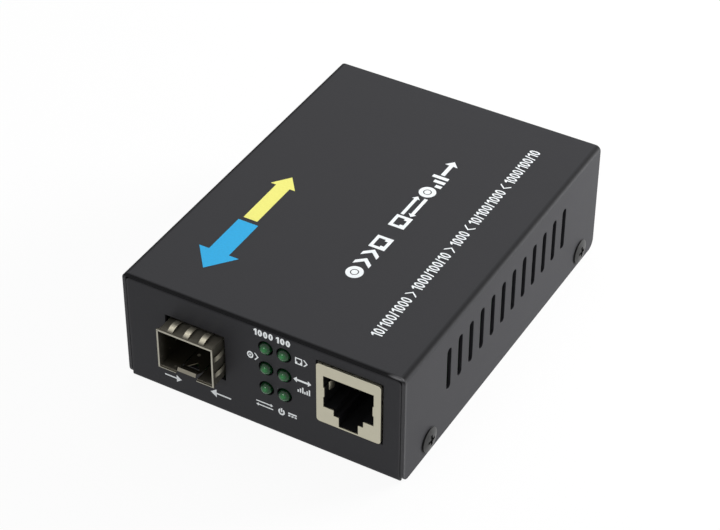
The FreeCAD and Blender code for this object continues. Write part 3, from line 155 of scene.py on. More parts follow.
case_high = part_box("top_cover")[1]
panel_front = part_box("base_tray")[0].y
powder_coat, tree, shader = new_material("black powder coat on steel")
place = add_node(tree, "ShaderNodeTexCoord").outputs["Object"]
axes = add_node(tree, "ShaderNodeSeparateXYZ", links={"Vector": place})
off_middle = add_node(tree, "ShaderNodeMath", {"operation": "ABSOLUTE"}, {0: axes.outputs["X"]})
# The zones of the case. Each fades in along one direction, from its first place to its second.
zones = {}
for zone, along, begins, full in (
        ("side", off_middle.outputs[0], case_high.x - 1.5 * mm, case_high.x - 0.8 * mm),
        ("side top", axes.outputs["Z"], case_high.z - 1.1 * mm, case_high.z - 0.3 * mm),
        ("front", axes.outputs["Y"], panel_front + 0.9 * mm, panel_front + 0.4 * mm),
        ("front round", axes.outputs["Y"], panel_front + 0.65 * mm, panel_front + 0.15 * mm),
        ("front top", axes.outputs["Z"], case_high.z - 1.6 * mm, case_high.z - 0.6 * mm)):
    zones[zone] = add_node(tree, "ShaderNodeMapRange", {"From Min": begins, "From Max": full},
                           {"Value": along}).outputs["Result"]
side_bends = add_node(tree, "ShaderNodeMath", {"operation": "MULTIPLY"},
                      {0: zones["side"], 1: zones["side top"]})
front_bend = add_node(tree, "ShaderNodeMath", {"operation": "MULTIPLY"},
                      {0: zones["front round"], 1: zones["front top"]})
bends = add_node(tree, "ShaderNodeMath", {"operation": "MAXIMUM"},
                 {0: side_bends.outputs[0], 1: front_bend.outputs[0]})
cut_ends = add_node(tree, "ShaderNodeMath", {"operation": "MULTIPLY"},
                    {0: zones["front"], 1: zones["side"]})
grain = add_node(tree, "ShaderNodeTexNoise", {"Scale": 1 / (0.45 * mm), "Detail": 2.0},
                 {"Vector": place})
drift = add_node(tree, "ShaderNodeTexNoise", {"Scale": 1 / (18 * mm), "Detail": 3.0},
                 {"Vector": place})
shade = add_node(tree, "ShaderNodeMixRGB",
                 {"Color1": linear("#252528"), "Color2": linear("#2C2C2F")},
                 {"Fac": drift.outputs["Fac"]})
# Painted highlight: the cut ends are greyer, as a rounded edge that catches the light.
cut_end_highlight = add_node(tree, "ShaderNodeMixRGB", {"Color2": linear("#3C3C3E")},
                 {"Fac": cut_ends.outputs[0], "Color1": shade.outputs["Color"]})
# Painted shade: the bends are darkened to near black.
bend_shade = add_node(tree, "ShaderNodeMixRGB", {"Color2": linear("#0E0E10")},
                {"Fac": bends.outputs[0], "Color1": cut_end_highlight.outputs["Color"]})
# A painted glint: a grey spot on the cover's front right corner, where its rounding catches the
# light.
glint_corner = (case_high.x - 1.9 * mm, panel_front, case_high.z - 0.3 * mm)
glint_reach = (2.4 * mm, 0.6 * mm, 0.5 * mm)
to_corner = add_node(tree, "ShaderNodeMapping", {
    "vector_type": "TEXTURE", "Location": glint_corner, "Scale": glint_reach}, {"Vector": place})
from_corner = add_node(tree, "ShaderNodeVectorMath", {"operation": "LENGTH"},
                       {0: to_corner.outputs["Vector"]})
glint_mask = add_node(tree, "ShaderNodeMapRange", {"From Min": 1.0, "From Max": 0.3},
               {"Value": from_corner.outputs["Value"]})
painted_highlight = add_node(tree, "ShaderNodeMixRGB", {"Color2": linear("#6E6E70")},
                  {"Fac": glint_mask.outputs["Result"], "Color1": bend_shade.outputs["Color"]})
sheen = add_node(tree, "ShaderNodeMapRange", {"To Min": 0.44, "To Max": 0.56},
                 {"Value": drift.outputs["Fac"]})
thin_coat_roughness = 0.85
matt = add_node(tree, "ShaderNodeMixRGB", {"Color2": [thin_coat_roughness] * 3 + [1]},
                {"Fac": bends.outputs[0], "Color1": sheen.outputs["Result"]})
edge = add_node(tree, "ShaderNodeBevel", {"samples": 6, "Radius": 0.2 * mm})
bump = add_node(tree, "ShaderNodeBump", {"Strength": 0.3, "Distance": 0.05 * mm},
                {"Height": grain.outputs["Fac"], "Normal": edge.outputs["Normal"]})
shader.inputs["Specular IOR Level"].default_value = 0.15
tree.links.new(painted_highlight.outputs["Color"], shader.inputs["Base Color"])
tree.links.new(matt.outputs["Color"], shader.inputs["Roughness"])
tree.links.new(bump.outputs["Normal"], shader.inputs["Normal"])
finish_nodes(powder_coat, "top_cover", "base_tray")


# The cover's four screws: cold-headed steel with a black zinc plate, a low pan head and a cross
# recess. The plate is smooth and a little glossier than the powder round it.
black_zinc, tree, shader = new_material("black zinc on screw steel")
place = add_node(tree, "ShaderNodeTexCoord").outputs["Object"]
mottle = add_node(tree, "ShaderNodeTexNoise", {"Scale": 1 / (0.8 * mm), "Detail": 3.0},
                  {"Vector": place})
shade = add_node(tree, "ShaderNodeMixRGB",
                 {"Color1": linear("#1C1C1C"), "Color2": linear("#343434")},
                 {"Fac": mottle.outputs["Fac"]})
bump = add_node(tree, "ShaderNodeBump", {"Strength": 0.15, "Distance": 0.03 * mm},
                {"Height": mottle.outputs["Fac"]})
shader.inputs["Metallic"].default_value = 0.7
shader.inputs["Roughness"].default_value = 0.42
tree.links.new(shade.outputs["Color"], shader.inputs["Base Color"])
tree.links.new(bump.outputs["Normal"], shader.inputs["Normal"])
finish_nodes(black_zinc, "cover_screws")


# The module cage: nickel-silver sheet 0.25 mm thick, stamped and folded, with a satin mill finish,
# dimpled inside, with pale dimple tops. Its inside is darkened with painted shade, and the cut
# edges of its mouth are lightened with a painted highlight. The plate in its floor with the latch
# tongue is the same sheet. The rolling streaks are drawn coarser than they are, to show.
def sheet_metal(name, dark, light, roughness, stretch):
    """Rolled and stamped metal: streaks along the sheet and faint smears left by the tools."""
    material, tree, shader = new_material(name)
    place = add_node(tree, "ShaderNodeTexCoord").outputs["Object"]
    along = add_node(tree, "ShaderNodeMapping", {"Scale": stretch}, {"Vector": place})
    streak = add_node(tree, "ShaderNodeTexNoise", {"Scale": 1 / (0.25 * mm), "Detail": 3.0},
                      {"Vector": along.outputs["Vector"]})
    smear = add_node(tree, "ShaderNodeTexNoise", {"Scale": 1 / (2.5 * mm), "Detail": 2.0},
                     {"Vector": place})
    shade = add_node(tree, "ShaderNodeMixRGB", {"Color1": linear(dark), "Color2": linear(light)},
                     {"Fac": smear.outputs["Fac"]})
    matt = add_node(tree, "ShaderNodeMapRange",
                    {"To Min": roughness - 0.07, "To Max": roughness + 0.07},
                    {"Value": smear.outputs["Fac"]})
    edge = add_node(tree, "ShaderNodeBevel", {"samples": 4, "Radius": 0.06 * mm})
    bump = add_node(tree, "ShaderNodeBump", {"Strength": 0.2, "Distance": 0.01 * mm},
                    {"Height": streak.outputs["Fac"], "Normal": edge.outputs["Normal"]})
    shader.inputs["Metallic"].default_value = 1.0
    tree.links.new(shade.outputs["Color"], shader.inputs["Base Color"])
    tree.links.new(matt.outputs["Result"], shader.inputs["Roughness"])
    tree.links.new(bump.outputs["Normal"], shader.inputs["Normal"])
    return material


def mouth_edge(tree, place):
    """Give 1 on the cut edges of the cage's mouth and 0 behind them."""
    axes = add_node(tree, "ShaderNodeSeparateXYZ", links={"Vector": place})
    return add_node(tree, "ShaderNodeMapRange",
                    {"From Min": cage_low.y + 0.12 * mm, "From Max": cage_low.y + 0.04 * mm},
                    {"Value": axes.outputs["Y"]}).outputs["Result"]


cage_low, cage_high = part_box("sfp_cage_shell")
cage_middle = (cage_low.x + cage_high.x) / 2
half_width = (cage_high.x - cage_low.x) / 2
nickel_silver = sheet_metal("nickel silver sheet", "#716D62", "#88847A", 0.5, (1, 0.1, 1))
tree = nickel_silver.node_tree
shader = tree.nodes["Principled BSDF"]
outer_skin = shader.inputs["Base Color"].links[0].from_socket
place = add_node(tree, "ShaderNodeTexCoord").outputs["Object"]
centred = add_node(tree, "ShaderNodeMapping", {"Location": (-cage_middle, 0, 0)},
                   {"Vector": place})
axes = add_node(tree, "ShaderNodeSeparateXYZ", links={"Vector": centred.outputs["Vector"]})
off_middle = add_node(tree, "ShaderNodeMath", {"operation": "ABSOLUTE"}, {0: axes.outputs["X"]})
# The inside begins within the sheet's own thickness. Past the mouth it takes painted shade, which
# deepens further in.
between_sides = add_node(tree, "ShaderNodeMapRange",
                         {"From Min": half_width - 0.08 * mm, "From Max": half_width - 0.16 * mm},
                         {"Value": off_middle.outputs[0]})
under_roof = add_node(tree, "ShaderNodeMapRange",
                      {"From Min": cage_high.z - 0.08 * mm, "From Max": cage_high.z - 0.16 * mm},
                      {"Value": axes.outputs["Z"]})
enclosed = add_node(tree, "ShaderNodeMath", {"operation": "MULTIPLY"},
                    {0: between_sides.outputs["Result"], 1: under_roof.outputs["Result"]})
past_mouth = add_node(tree, "ShaderNodeMapRange",
                      {"From Min": cage_low.y + 0.6 * mm, "From Max": cage_low.y + 3.0 * mm},
                      {"Value": axes.outputs["Y"]})
inside = add_node(tree, "ShaderNodeMath", {"operation": "MULTIPLY"},
                  {0: enclosed.outputs[0], 1: past_mouth.outputs["Result"]})
dimple = add_node(tree, "ShaderNodeTexVoronoi", {"Scale": 1 / (3.0 * mm), "Randomness": 0.6},
                  {"Vector": place})
pale_dimple_tops = add_node(tree, "ShaderNodeMapRange", {"From Min": 0.17, "From Max": 0.12},
                    {"Value": dimple.outputs["Distance"]})
# The inside's colour: dark painted shade, with pale dimple tops.
inside_shade_and_dimples = add_node(tree, "ShaderNodeMixRGB",
                {"Color1": linear("#504C40"), "Color2": linear("#D2CCBA")},
                {"Fac": pale_dimple_tops.outputs["Result"]})
walls = add_node(tree, "ShaderNodeMixRGB", links={
    "Fac": inside.outputs[0], "Color1": outer_skin, "Color2": inside_shade_and_dimples.outputs["Color"]})
# Painted highlight on the cut edges of the mouth.
lip_highlight = add_node(tree, "ShaderNodeMixRGB", {"Color2": linear("#A8A599")},
                {"Fac": mouth_edge(tree, place), "Color1": walls.outputs["Color"]})
tree.links.new(lip_highlight.outputs["Color"], shader.inputs["Base Color"])
finish_nodes(nickel_silver, "sfp_cage_shell", "sfp_cage_base")


# The spring collar round the cage: phosphor bronze strip 0.15 mm thick, stamped, bowed and dipped
# in dull tin. The crests of its fingers carry a bright cream painted highlight towards their front
# ends, and the cut edges of its mouth a paler painted highlight.
spring_tin = sheet_metal("tin on spring bronze", "#615D53", "#767268", 0.55, (1, 0.1, 1))
tree = spring_tin.node_tree
place = add_node(tree, "ShaderNodeTexCoord").outputs["Object"]
centred = add_node(tree, "ShaderNodeMapping", {"Location": (-cage_middle, 0, 0)},
                   {"Vector": place})
axes = add_node(tree, "ShaderNodeSeparateXYZ", links={"Vector": centred.outputs["Vector"]})
off_middle = add_node(tree, "ShaderNodeMath", {"operation": "ABSOLUTE"}, {0: axes.outputs["X"]})
# Painted highlight on the finger crests, strongest ahead of the panel.
side_crests = add_node(tree, "ShaderNodeMapRange",
                       {"From Min": half_width + 0.2 * mm, "From Max": half_width + 0.4 * mm},
                       {"Value": off_middle.outputs[0]})
top_crests = add_node(tree, "ShaderNodeMapRange",
                      {"From Min": cage_high.z + 0.25 * mm, "From Max": cage_high.z + 0.7 * mm},
                      {"Value": axes.outputs["Z"]})
crests = add_node(tree, "ShaderNodeMath", {"operation": "MAXIMUM"},
                  {0: side_crests.outputs["Result"], 1: top_crests.outputs["Result"]})
ahead_of_panel = add_node(
    tree, "ShaderNodeMapRange",
    {"From Min": cage_low.y + 3.4 * mm, "From Max": cage_low.y + 1.8 * mm, "To Min": 0.25},
    {"Value": axes.outputs["Y"]})
crest_highlight = add_node(tree, "ShaderNodeMath", {"operation": "MULTIPLY"},
                       {0: crests.outputs[0], 1: ahead_of_panel.outputs["Result"]})
shader = tree.nodes["Principled BSDF"]
plain_tin = shader.inputs["Base Color"].links[0].from_socket
painted_highlight = add_node(tree, "ShaderNodeMixRGB", {"Color2": linear("#EAE4D0")},
                  {"Fac": crest_highlight.outputs[0], "Color1": plain_tin})
# Painted highlight on the cut edges of the mouth.
lip_highlight = add_node(tree, "ShaderNodeMixRGB", {"Color2": linear("#A8A599")},
                {"Fac": mouth_edge(tree, place), "Color1": painted_highlight.outputs["Color"]})
tree.links.new(lip_highlight.outputs["Color"], shader.inputs["Base Color"])
finish_nodes(spring_tin, "sfp_spring_collar")


# The mouldings: glass-filled nylon, black all through, injected into a spark-eroded mould that
# leaves a slight haze. They are the jack's insert, the module connector, the lamp holder and the
# inlet.
black_nylon, tree, shader = new_material("black glass-filled nylon")
place = add_node(tree, "ShaderNodeTexCoord").outputs["Object"]
erosion = add_node(tree, "ShaderNodeTexNoise", {"Scale": 1 / (0.3 * mm), "Detail": 4.0},
                   {"Vector": place})
shade = add_node(tree, "ShaderNodeMixRGB",
                 {"Color1": linear("#0A0A0C"), "Color2": linear("#131315")},
                 {"Fac": erosion.outputs["Fac"]})
bump = add_node(tree, "ShaderNodeBump", {"Strength": 0.25, "Distance": 0.02 * mm},
                {"Height": erosion.outputs["Fac"]})
shader.inputs["Roughness"].default_value = 0.55
shader.inputs["Specular IOR Level"].default_value = 0.25
tree.links.new(shade.outputs["Color"], shader.inputs["Base Color"])
tree.links.new(bump.outputs["Normal"], shader.inputs["Normal"])
finish_nodes(black_nylon, "sfp_connector_housing", "rj45_housing", "led_holder", "dc_jack_housing")


# The contacts of the module connector and of the RJ45 jack: phosphor bronze strip, stamped, bent
# and flashed with a thin coat of gold, which is smooth and deep yellow.
gold_flash = sheet_metal("gold flash on contact bronze", "#B8903C", "#D9B45C", 0.25, (1, 0.1, 1))
finish_nodes(gold_flash, "sfp_connector_contacts", "rj45_contacts")


# The RJ45 jack's shield: brass sheet 0.3 mm thick, stamped, folded round the insert and satin
# nickel plated, so that it is warm, pale and nearly matt.
satin_nickel = sheet_metal("satin nickel on brass", "#B4B09E", "#BFBBA8", 0.42, (1, 1, 0.1))
finish_nodes(satin_nickel, "rj45_shield")


# The RJ45 jack's two ground springs: leaves bent inward from the shield's sides just behind its
# mouth, of the same sheet. Each bows towards the plug and its free end turns back to the wall.
shield_low, shield_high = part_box("rj45_shield")
shield_middle = (shield_low.x + shield_high.x) / 2
leaf_length, leaf_height, leaf_thickness, leaf_edge = 2.6 * mm, 2.2 * mm, 0.15 * mm, 0.04 * mm
off_shield_middle, behind_mouth, above_foot = 5.65 * mm, 3.0 * mm, 9.3 * mm
# How far inward the leaf bows at each depth behind the mouth.
bow = ((2.1 * mm, 0.2 * mm), (2.5 * mm, 0.4 * mm), (3.0 * mm, 0.5 * mm), (3.5 * mm, 0.4 * mm),
       (3.9 * mm, 0.15 * mm))
for side, side_name in ((-1, "left"), (1, "right")):
    bpy.ops.mesh.primitive_plane_add(
        size=1, rotation=(0, math.radians(90), 0),
        location=(shield_middle + side * off_shield_middle, shield_low.y + behind_mouth,
                  shield_low.z + above_foot))
    leaf = bpy.context.object
    leaf.name = "rj45_ground_spring_" + side_name
    leaf.dimensions = (leaf_height, leaf_length, 0)
    bpy.ops.object.transform_apply(location=True, rotation=True, scale=True)
    bpy.ops.object.mode_set(mode="EDIT")
    for depth, inward in bow:
        bpy.ops.mesh.select_all(action="SELECT")
        bpy.ops.mesh.bisect(plane_co=(0, shield_low.y + depth, 0), plane_no=(0, 1, 0))
    bpy.ops.object.mode_set(mode="OBJECT")
    for depth, inward in bow:
        for vertex in leaf.data.vertices:
            vertex.select = abs(vertex.co.y - shield_low.y - depth) < 0.05 * mm
        for line in leaf.data.edges:
            line.select = all(leaf.data.vertices[end].select for end in line.vertices)
        bpy.ops.object.mode_set(mode="EDIT")
        bpy.ops.transform.translate(value=(-side * inward, 0, 0))
        bpy.ops.object.mode_set(mode="OBJECT")
    thicken = leaf.modifiers.new("sheet", "SOLIDIFY")
    thicken.thickness = leaf_thickness
    soften = leaf.modifiers.new("stamped edge", "BEVEL")
    soften.width = leaf_edge
    soften.segments = 2
    bpy.ops.object.modifier_apply(modifier="sheet")
    bpy.ops.object.modifier_apply(modifier="stamped edge")
    bpy.ops.object.shade_smooth_by_angle(angle=math.radians(40))
    leaf.data.materials.append(satin_nickel)
    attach(leaf, "root")
    leaf.select_set(False)


# The six lamps: 3 mm epoxy domes, cast in tinted green resin with a little diffuser in it. The
# lead frame's cup shows through the middle as a lighter spot, set high and brightened as a painted
# highlight. The rim is painted shade, the body is painted darker towards its top, and the skin is
# glossy.
green_resin, tree, shader = new_material("green diffused epoxy resin")
lamp_middles = [sum(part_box("led_%d" % number), Vector()) / 2 for number in range(1, 7)]
columns = sorted({round(middle.x, 5) for middle in lamp_middles})
rows = sorted({round(middle.z, 5) for middle in lamp_middles})
column_pitch, row_pitch = columns[1] - columns[0], rows[1] - rows[0]
place = add_node(tree, "ShaderNodeTexCoord").outputs["Object"]
axes = add_node(tree, "ShaderNodeSeparateXYZ", links={"Vector": place})
# How far a point lies from the axis of its own lamp, across and up.
in_lamp = {}
for axis, first, pitch in (("X", columns[0], column_pitch), ("Z", rows[0], row_pitch)):
    from_edge = add_node(tree, "ShaderNodeMath", {"operation": "SUBTRACT", 1: first - pitch / 2},
                         {0: axes.outputs[axis]})
    within = add_node(tree, "ShaderNodeMath", {"operation": "MODULO", 1: pitch},
                      {0: from_edge.outputs[0]})
    in_lamp[axis] = add_node(tree, "ShaderNodeMath", {"operation": "SUBTRACT", 1: pitch / 2},
                             {0: within.outputs[0]}).outputs[0]
off_axis = add_node(tree, "ShaderNodeCombineXYZ", links=in_lamp)
radius = add_node(tree, "ShaderNodeVectorMath", {"operation": "LENGTH"},
                  {0: off_axis.outputs["Vector"]})
# The lead frame's cup, shifted up and brightened as a painted highlight.
cup_highlight_middle = (0.15 * mm, 0, 0.4 * mm)
from_cup_highlight = add_node(tree, "ShaderNodeVectorMath", {"operation": "DISTANCE", 1: cup_highlight_middle},
                    {0: off_axis.outputs["Vector"]})
cup_highlight = add_node(tree, "ShaderNodeMapRange", {"From Min": 0.9 * mm, "From Max": 0.15 * mm},
               {"Value": from_cup_highlight.outputs["Value"]})
# Painted shade round the rim of each dome.
rim = add_node(tree, "ShaderNodeMapRange", {"From Min": 1.1 * mm, "From Max": 1.6 * mm},
               {"Value": radius.outputs["Value"]})
# Painted shade: each dome's body is darker towards its top.
painted_shade_upward = add_node(tree, "ShaderNodeMapRange", {"From Min": -1.2 * mm, "From Max": 1.0 * mm},
                {"Value": in_lamp["Z"]})
body = add_node(tree, "ShaderNodeMixRGB",
                {"Color1": linear("#18602F"), "Color2": linear("#0B3A1B")},
                {"Fac": painted_shade_upward.outputs["Result"]})
with_cup_highlight = add_node(tree, "ShaderNodeMixRGB", {"Color2": linear("#26803F")},
                   {"Fac": cup_highlight.outputs["Result"], "Color1": body.outputs["Color"]})
shade = add_node(tree, "ShaderNodeMixRGB", {"Color2": linear("#06230F")},
                 {"Fac": rim.outputs["Result"], "Color1": with_cup_highlight.outputs["Color"]})
shader.inputs["Roughness"].default_value = 0.07
shader.inputs["IOR"].default_value = 1.54
shader.inputs["Specular IOR Level"].default_value = 0.3
shader.inputs["Subsurface Weight"].default_value = 0.1
shader.inputs["Subsurface Scale"].default_value = 0.5 * mm
tree.links.new(shade.outputs["Color"], shader.inputs["Base Color"])
finish_nodes(green_resin, *["led_%d" % number for number in range(1, 7)])


# The power inlet's pin and sleeve leaf, and every lead on the board: copper alloy strip and wire,
# cut and bent, then dipped in tin, which sets with a pale and slightly cloudy skin.
tin = sheet_metal("dull tin on copper", "#A8A8A4", "#C4C4C0", 0.4, (1, 1, 1))
finish_nodes(tin, "dc_jack_pin", "dc_jack_spring", "led_leads", "converter_chip_leads",
             "transformer_leads", "settings_memory_leads", "voltage_regulator_leads")


# The main board: glass-epoxy laminate 1.6 mm thick, routed from a panel, under a green solder mask
# that shows the weave of the glass cloth beneath it. The threads lie about 0.4 mm apart, as the
# bands of a wave repeat at 0.314 of the length that sets its scale.
laminate, tree, shader = new_material("solder mask on glass laminate")
place = add_node(tree, "ShaderNodeTexCoord").outputs["Object"]
warp = add_node(tree, "ShaderNodeTexWave", {"bands_direction": "X", "Scale": 1 / (1.2 * mm)},
                {"Vector": place})
weft = add_node(tree, "ShaderNodeTexWave", {"bands_direction": "Y", "Scale": 1 / (1.2 * mm)},
                {"Vector": place})
weave = add_node(tree, "ShaderNodeMath", {"operation": "MULTIPLY"},
                 {0: warp.outputs["Fac"], 1: weft.outputs["Fac"]})
shade = add_node(tree, "ShaderNodeMixRGB",
                 {"Color1": linear("#0E4A24"), "Color2": linear("#17602F")},
                 {"Fac": weave.outputs[0]})
shader.inputs["Roughness"].default_value = 0.35
tree.links.new(shade.outputs["Color"], shader.inputs["Base Color"])
finish_nodes(laminate, "main_board")


# The steel small parts on the board: its screws and spacers, turned and headed, and the crystal's
# drawn can. All are plated with bright zinc, which is bluish and even.
zinc = sheet_metal("bright zinc on steel", "#9A9C9E", "#B8BABC", 0.35, (1, 1, 1))
finish_nodes(zinc, "board_screws", "board_spacers", "crystal_can")


# The packages on the board: black epoxy full of glass flour, moulded round the chips, the coils
# and the diode. The mould's etched wall leaves it matt and faintly speckled.
epoxy, tree, shader = new_material("black moulding epoxy")
place = add_node(tree, "ShaderNodeTexCoord").outputs["Object"]
speckle = add_node(tree, "ShaderNodeTexNoise", {"Scale": 1 / (0.2 * mm), "Detail": 3.0},
                   {"Vector": place})
shade = add_node(tree, "ShaderNodeMixRGB",
                 {"Color1": linear("#161616"), "Color2": linear("#262626")},
                 {"Fac": speckle.outputs["Fac"]})
shader.inputs["Roughness"].default_value = 0.7
tree.links.new(shade.outputs["Color"], shader.inputs["Base Color"])
finish_nodes(epoxy, "converter_chip", "network_transformer", "settings_memory",
             "voltage_regulator", "input_diode")


# The capacitors and the power coil: drawn aluminium cans that keep the streaks of the die, a coil
# pressed and sintered from dark grey ferrite, and chips of tan fired ceramic with a fine grit.
can_aluminium = sheet_metal("drawn aluminium", "#B4B6B8", "#CCCED0", 0.3, (1, 1, 0.1))
finish_nodes(can_aluminium, "smoothing_capacitors")
for name, dark, pale, node_name in (
        ("sintered ferrite", "#2C2C2E", "#3C3C3E", "power_inductor"),
        ("fired ceramic", "#9A7A55", "#B08F68", "chip_capacitors")):
    sintered, tree, shader = new_material(name)
    place = add_node(tree, "ShaderNodeTexCoord").outputs["Object"]
    grit = add_node(tree, "ShaderNodeTexNoise", {"Scale": 1 / (0.3 * mm), "Detail": 4.0},
                    {"Vector": place})
    shade = add_node(tree, "ShaderNodeMixRGB", {"Color1": linear(dark), "Color2": linear(pale)},
                     {"Fac": grit.outputs["Fac"]})
    shader.inputs["Roughness"].default_value = 0.75
    tree.links.new(shade.outputs["Color"], shader.inputs["Base Color"])
    finish_nodes(sintered, node_name)


# The small print: white ink screened through a stencil and baked, a few hundredths of a millimetre
# thick. Every place has plain numbers or a plain sign, drawn here as closed outlines.
def oval(x, y, across, high, first=0.0, last=1.0):
    """Points round an oval, or round the share of it between two turns counted from its right."""
    steps = 36
    points = steps if last - first == 1 else steps + 1
    turns = [first + (last - first) * point / steps for point in range(points)]
    return [(x + across / 2 * math.cos(math.tau * turn), y + high / 2 * math.sin(math.tau * turn))
            for turn in turns]


def block(left, low, right, high):
    """A rectangle between its sides."""
    return [(left, low), (right, low), (right, high), (left, high)]


def arrow(tail, middle, tip, shaft, head):
    """An arrow from its tail to its tip, with the heights of its shaft and head."""
    head_length = 0.55 * head
    neck = tip - head_length if tip > tail else tip + head_length
    return [(tail, middle - shaft / 2), (neck, middle - shaft / 2), (neck, middle - head / 2),
            (tip, middle), (neck, middle + head / 2), (neck, middle + shaft / 2),
            (tail, middle + shaft / 2)]


def sign(kind, stroke):
    """One sign of height 1: its width and its closed outlines."""
    if kind == "0":
        return 0.58, [oval(0.29, 0.5, 0.58, 1), oval(0.29, 0.5, 0.58 - 2 * stroke, 1 - 2 * stroke)]
    if kind == "1":
        return 0.4, [[(0.4 - stroke, 0), (0.4, 0), (0.4, 1), (0.4 - 0.8 * stroke, 1),
                      (0, 0.82), (0, 0.82 - stroke), (0.4 - stroke, 0.9 - stroke)]]
    if kind == "/":
        return 0.36, [[(0, 0), (stroke, 0), (0.36, 1), (0.36 - stroke, 1)]]
    if kind in (">", "<"):
        bar = 1.2 * stroke
        outline = [(0, 0), (bar, 0), (0.72, 0.5), (bar, 1), (0, 1), (0.72 - bar, 0.5)]
        return 0.72, [outline if kind == ">" else [(0.72 - x, y) for x, y in outline]]
    if kind == "fibre port":
        return 1.0, [oval(0.5, 0.5, 1, 1), oval(0.5, 0.5, 1 - 2 * stroke, 1 - 2 * stroke),
                     oval(0.5, 0.5, 1.5 * stroke, 1.5 * stroke)]
    if kind == "socket":
        rim = 0.8 * stroke
        return 1.1, [block(0, 0, 1.1, 1), [(rim, 0.4), (0.33, 0.4), (0.33, rim), (0.77, rim),
                     (0.77, 0.4), (1.1 - rim, 0.4), (1.1 - rim, 1 - rim), (rim, 1 - rim)]]
    if kind == "out":
        return 1.5, [arrow(0, 0.5, 1.5, stroke, 0.8)]
    if kind == "in":
        return 1.5, [arrow(1.5, 0.5, 0, stroke, 0.8)]
    if kind == "double arrow":
        half = arrow(1.3, 0.5, 2.6, stroke, 0.9)
        return 2.6, [half[:-1] + [(2.6 - x, 1 - y) for x, y in half[1:-1]]]
    if kind == "broad out":
        return 2.4, [arrow(0, 0.5, 2.4, stroke, 1)]
    if kind == "broad in":
        return 1.6, [arrow(1.6, 0.5, 0, stroke, 1)]
    if kind == "both ways":
        return 1.9, [arrow(0, 0.76, 1.9, 0.8 * stroke, 0.48),
                     arrow(1.9, 0.24, 0, 0.8 * stroke, 0.48)]
    if kind == "traffic":
        return 1.1, [block(0, 0, 0.25, 0.4), block(0.425, 0, 0.675, 0.7), block(0.85, 0, 1.1, 1)]
    if kind == "power":
        return 1.0, [oval(0.5, 0.47, 0.94, 0.94, 0.35, 1.15)
                     + oval(0.5, 0.47, 0.94 - 2 * stroke, 0.94 - 2 * stroke, 0.35, 1.15)[::-1],
                     block(0.5 - stroke / 2, 0.45, 0.5 + stroke / 2, 1)]
    if kind == "direct current":
        return 1.2, [block(0, 0.58, 1.2, 0.58 + stroke), block(0, 0.25, 0.3, 0.25 + stroke),
                     block(0.45, 0.25, 0.75, 0.25 + stroke), block(0.9, 0.25, 1.2, 0.25 + stroke)]


def printed_row(name, ink, kinds, stroke, length, height, foot, along, up):
    """Print signs from left to right, fitted to a length and height, and ride them on the case."""
    gap, word_gap = 0.13, 0.32
    half_thickness, lift = 0.02 * mm, 0.015 * mm
    drawn, reach = [], 0
    for kind in kinds:
        if kind == " ":
            reach += word_gap
            continue
        width, outlines = sign(kind, stroke)
        drawn += [[(reach + x, y) for x, y in outline] for outline in outlines]
        reach += width + gap
    reach -= gap
    curve = bpy.data.curves.new(name, "CURVE")
    curve.dimensions = "2D"
    curve.fill_mode = "BOTH"
    curve.extrude = half_thickness
    for outline in drawn:
        spline = curve.splines.new("POLY")
        spline.points.add(len(outline) - 1)
        for point, (x, y) in zip(spline.points, outline):
            point.co = (x / reach * length, y * height, 0, 1)
        spline.use_cyclic_u = True
    row = bpy.data.objects.new(name, curve)
    bpy.context.collection.objects.link(row)
    row.select_set(True)
    bpy.context.view_layer.objects.active = row
    bpy.ops.object.convert(target="MESH")
    row = bpy.context.object
    out = Vector(along).cross(Vector(up))
    turn = Matrix((along, up, out)).transposed().to_4x4()
    row.matrix_world = Matrix.Translation(Vector(foot) + lift * out) @ turn
    bpy.ops.object.transform_apply(location=True, rotation=True, scale=True)
    row.data.materials.append(ink)
    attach(row, "root")
    row.select_set(False)


def screen_ink(name, dark, light):
    """Baked screen ink: nearly matt, with a faint unevenness from the mesh of the screen."""
    material, tree, shader = new_material(name)
    place = add_node(tree, "ShaderNodeTexCoord").outputs["Object"]
    uneven = add_node(tree, "ShaderNodeTexNoise", {"Scale": 1 / (0.5 * mm), "Detail": 2.0},
                      {"Vector": place})
    shade = add_node(tree, "ShaderNodeMixRGB", {"Color1": linear(dark), "Color2": linear(light)},
                     {"Fac": uneven.outputs["Fac"]})
    bump = add_node(tree, "ShaderNodeBump", {"Strength": 0.2, "Distance": 0.01 * mm},
                    {"Height": uneven.outputs["Fac"]})
    shader.inputs["Roughness"].default_value = 0.5
    shader.inputs["Specular IOR Level"].default_value = 0.3
    tree.links.new(shade.outputs["Color"], shader.inputs["Base Color"])
    tree.links.new(bump.outputs["Normal"], shader.inputs["Normal"])
    return material


white_ink = screen_ink("white screen ink", "#EAF0F3", "#FAFCFD")
across, upright = (1, 0, 0), (0, 0, 1)
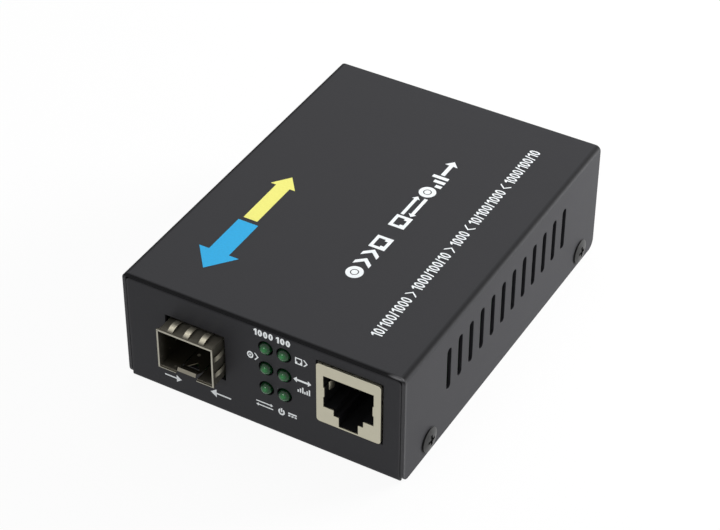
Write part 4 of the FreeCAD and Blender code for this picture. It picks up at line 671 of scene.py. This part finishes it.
# For each row: its name, signs and stroke, then its left end, foot, length and height in mm.
for name, kinds, stroke, left, foot, length, height in (
        ("print_speed_1000", "1000", 0.23, -1.55, 26.25, 4.75, 1.75),
        ("print_speed_100", "100", 0.23, 3.95, 26.25, 3.5, 1.7),
        ("print_fibre_lamp", ["fibre port", ">"], 0.2, -3.4, 19.1, 2.9, 1.9),
        ("print_socket_lamp", ["socket", ">"], 0.2, 8.6, 22.5, 3.1, 1.8),
        ("print_link_lamp", ["double arrow"], 0.3, 8.1, 17.2, 4.4, 1.7),
        ("print_traffic_lamp", ["traffic", "traffic"], 0.2, 9.1, 14.75, 3.1, 1.6),
        ("print_two_way_lamp", ["both ways"], 0.2, -1.45, 6.1, 4.25, 1.9),
        ("print_power_lamp", ["power", " ", "direct current"], 0.22, 4.05, 6.0, 4.7, 2.0),
        ("print_fibre_out", ["out"], 0.14, -25.3, 3.2, 4.4, 2.5),
        ("print_fibre_in", ["in"], 0.14, -13.3, 3.3, 5.3, 2.8)):
    printed_row(name, white_ink, kinds, stroke, length * mm, height * mm,
                (left * mm, panel_front, foot * mm), across, upright)


# The large print on the cover, of the same ink: a bold row of signs down the middle, and a long
# row of the speeds that the box takes beside the right-hand edge.
rearward, leftward = (0, 1, 0), (-1, 0, 0)
printed_row("print_bold_front", white_ink, ["fibre port", ">", ">", "socket"],
            0.25, 16.0 * mm, 4.0 * mm,
            (10.5 * mm, -23.9 * mm, case_high.z), rearward, leftward)
printed_row("print_bold_rear", white_ink, ["socket", "both ways", "fibre port", "traffic", "out"],
            0.25, 28.0 * mm, 4.0 * mm,
            (10.5 * mm, -3.6 * mm, case_high.z), rearward, leftward)
printed_row("print_speeds", white_ink,
            "10/100/1000 > 1000/100/10 > 1000 < 10/100/1000 < 1000/100/10",
            0.155, 75.6 * mm, 2.65 * mm,
            (24.1 * mm, -38.0 * mm, case_high.z), rearward, leftward)


# The two coloured arrows near the left edge: blue and yellow inks, each screened on its own pass.
# They point both ways along the box, as it passes signals both ways.
blue_ink = screen_ink("blue screen ink", "#189FD6", "#20B0EA")
printed_row("print_blue_arrow", blue_ink, ["broad in"], 0.5, 18.4 * mm, 10.2 * mm,
            (-15.5 * mm, -37.0 * mm, case_high.z), rearward, leftward)
yellow_ink = screen_ink("yellow screen ink", "#EDE874", "#F8F486")
printed_row("print_yellow_arrow", yellow_ink, ["broad out"], 0.56, 18.0 * mm, 6.4 * mm,
            (-17.6 * mm, -17.4 * mm, case_high.z), rearward, leftward)
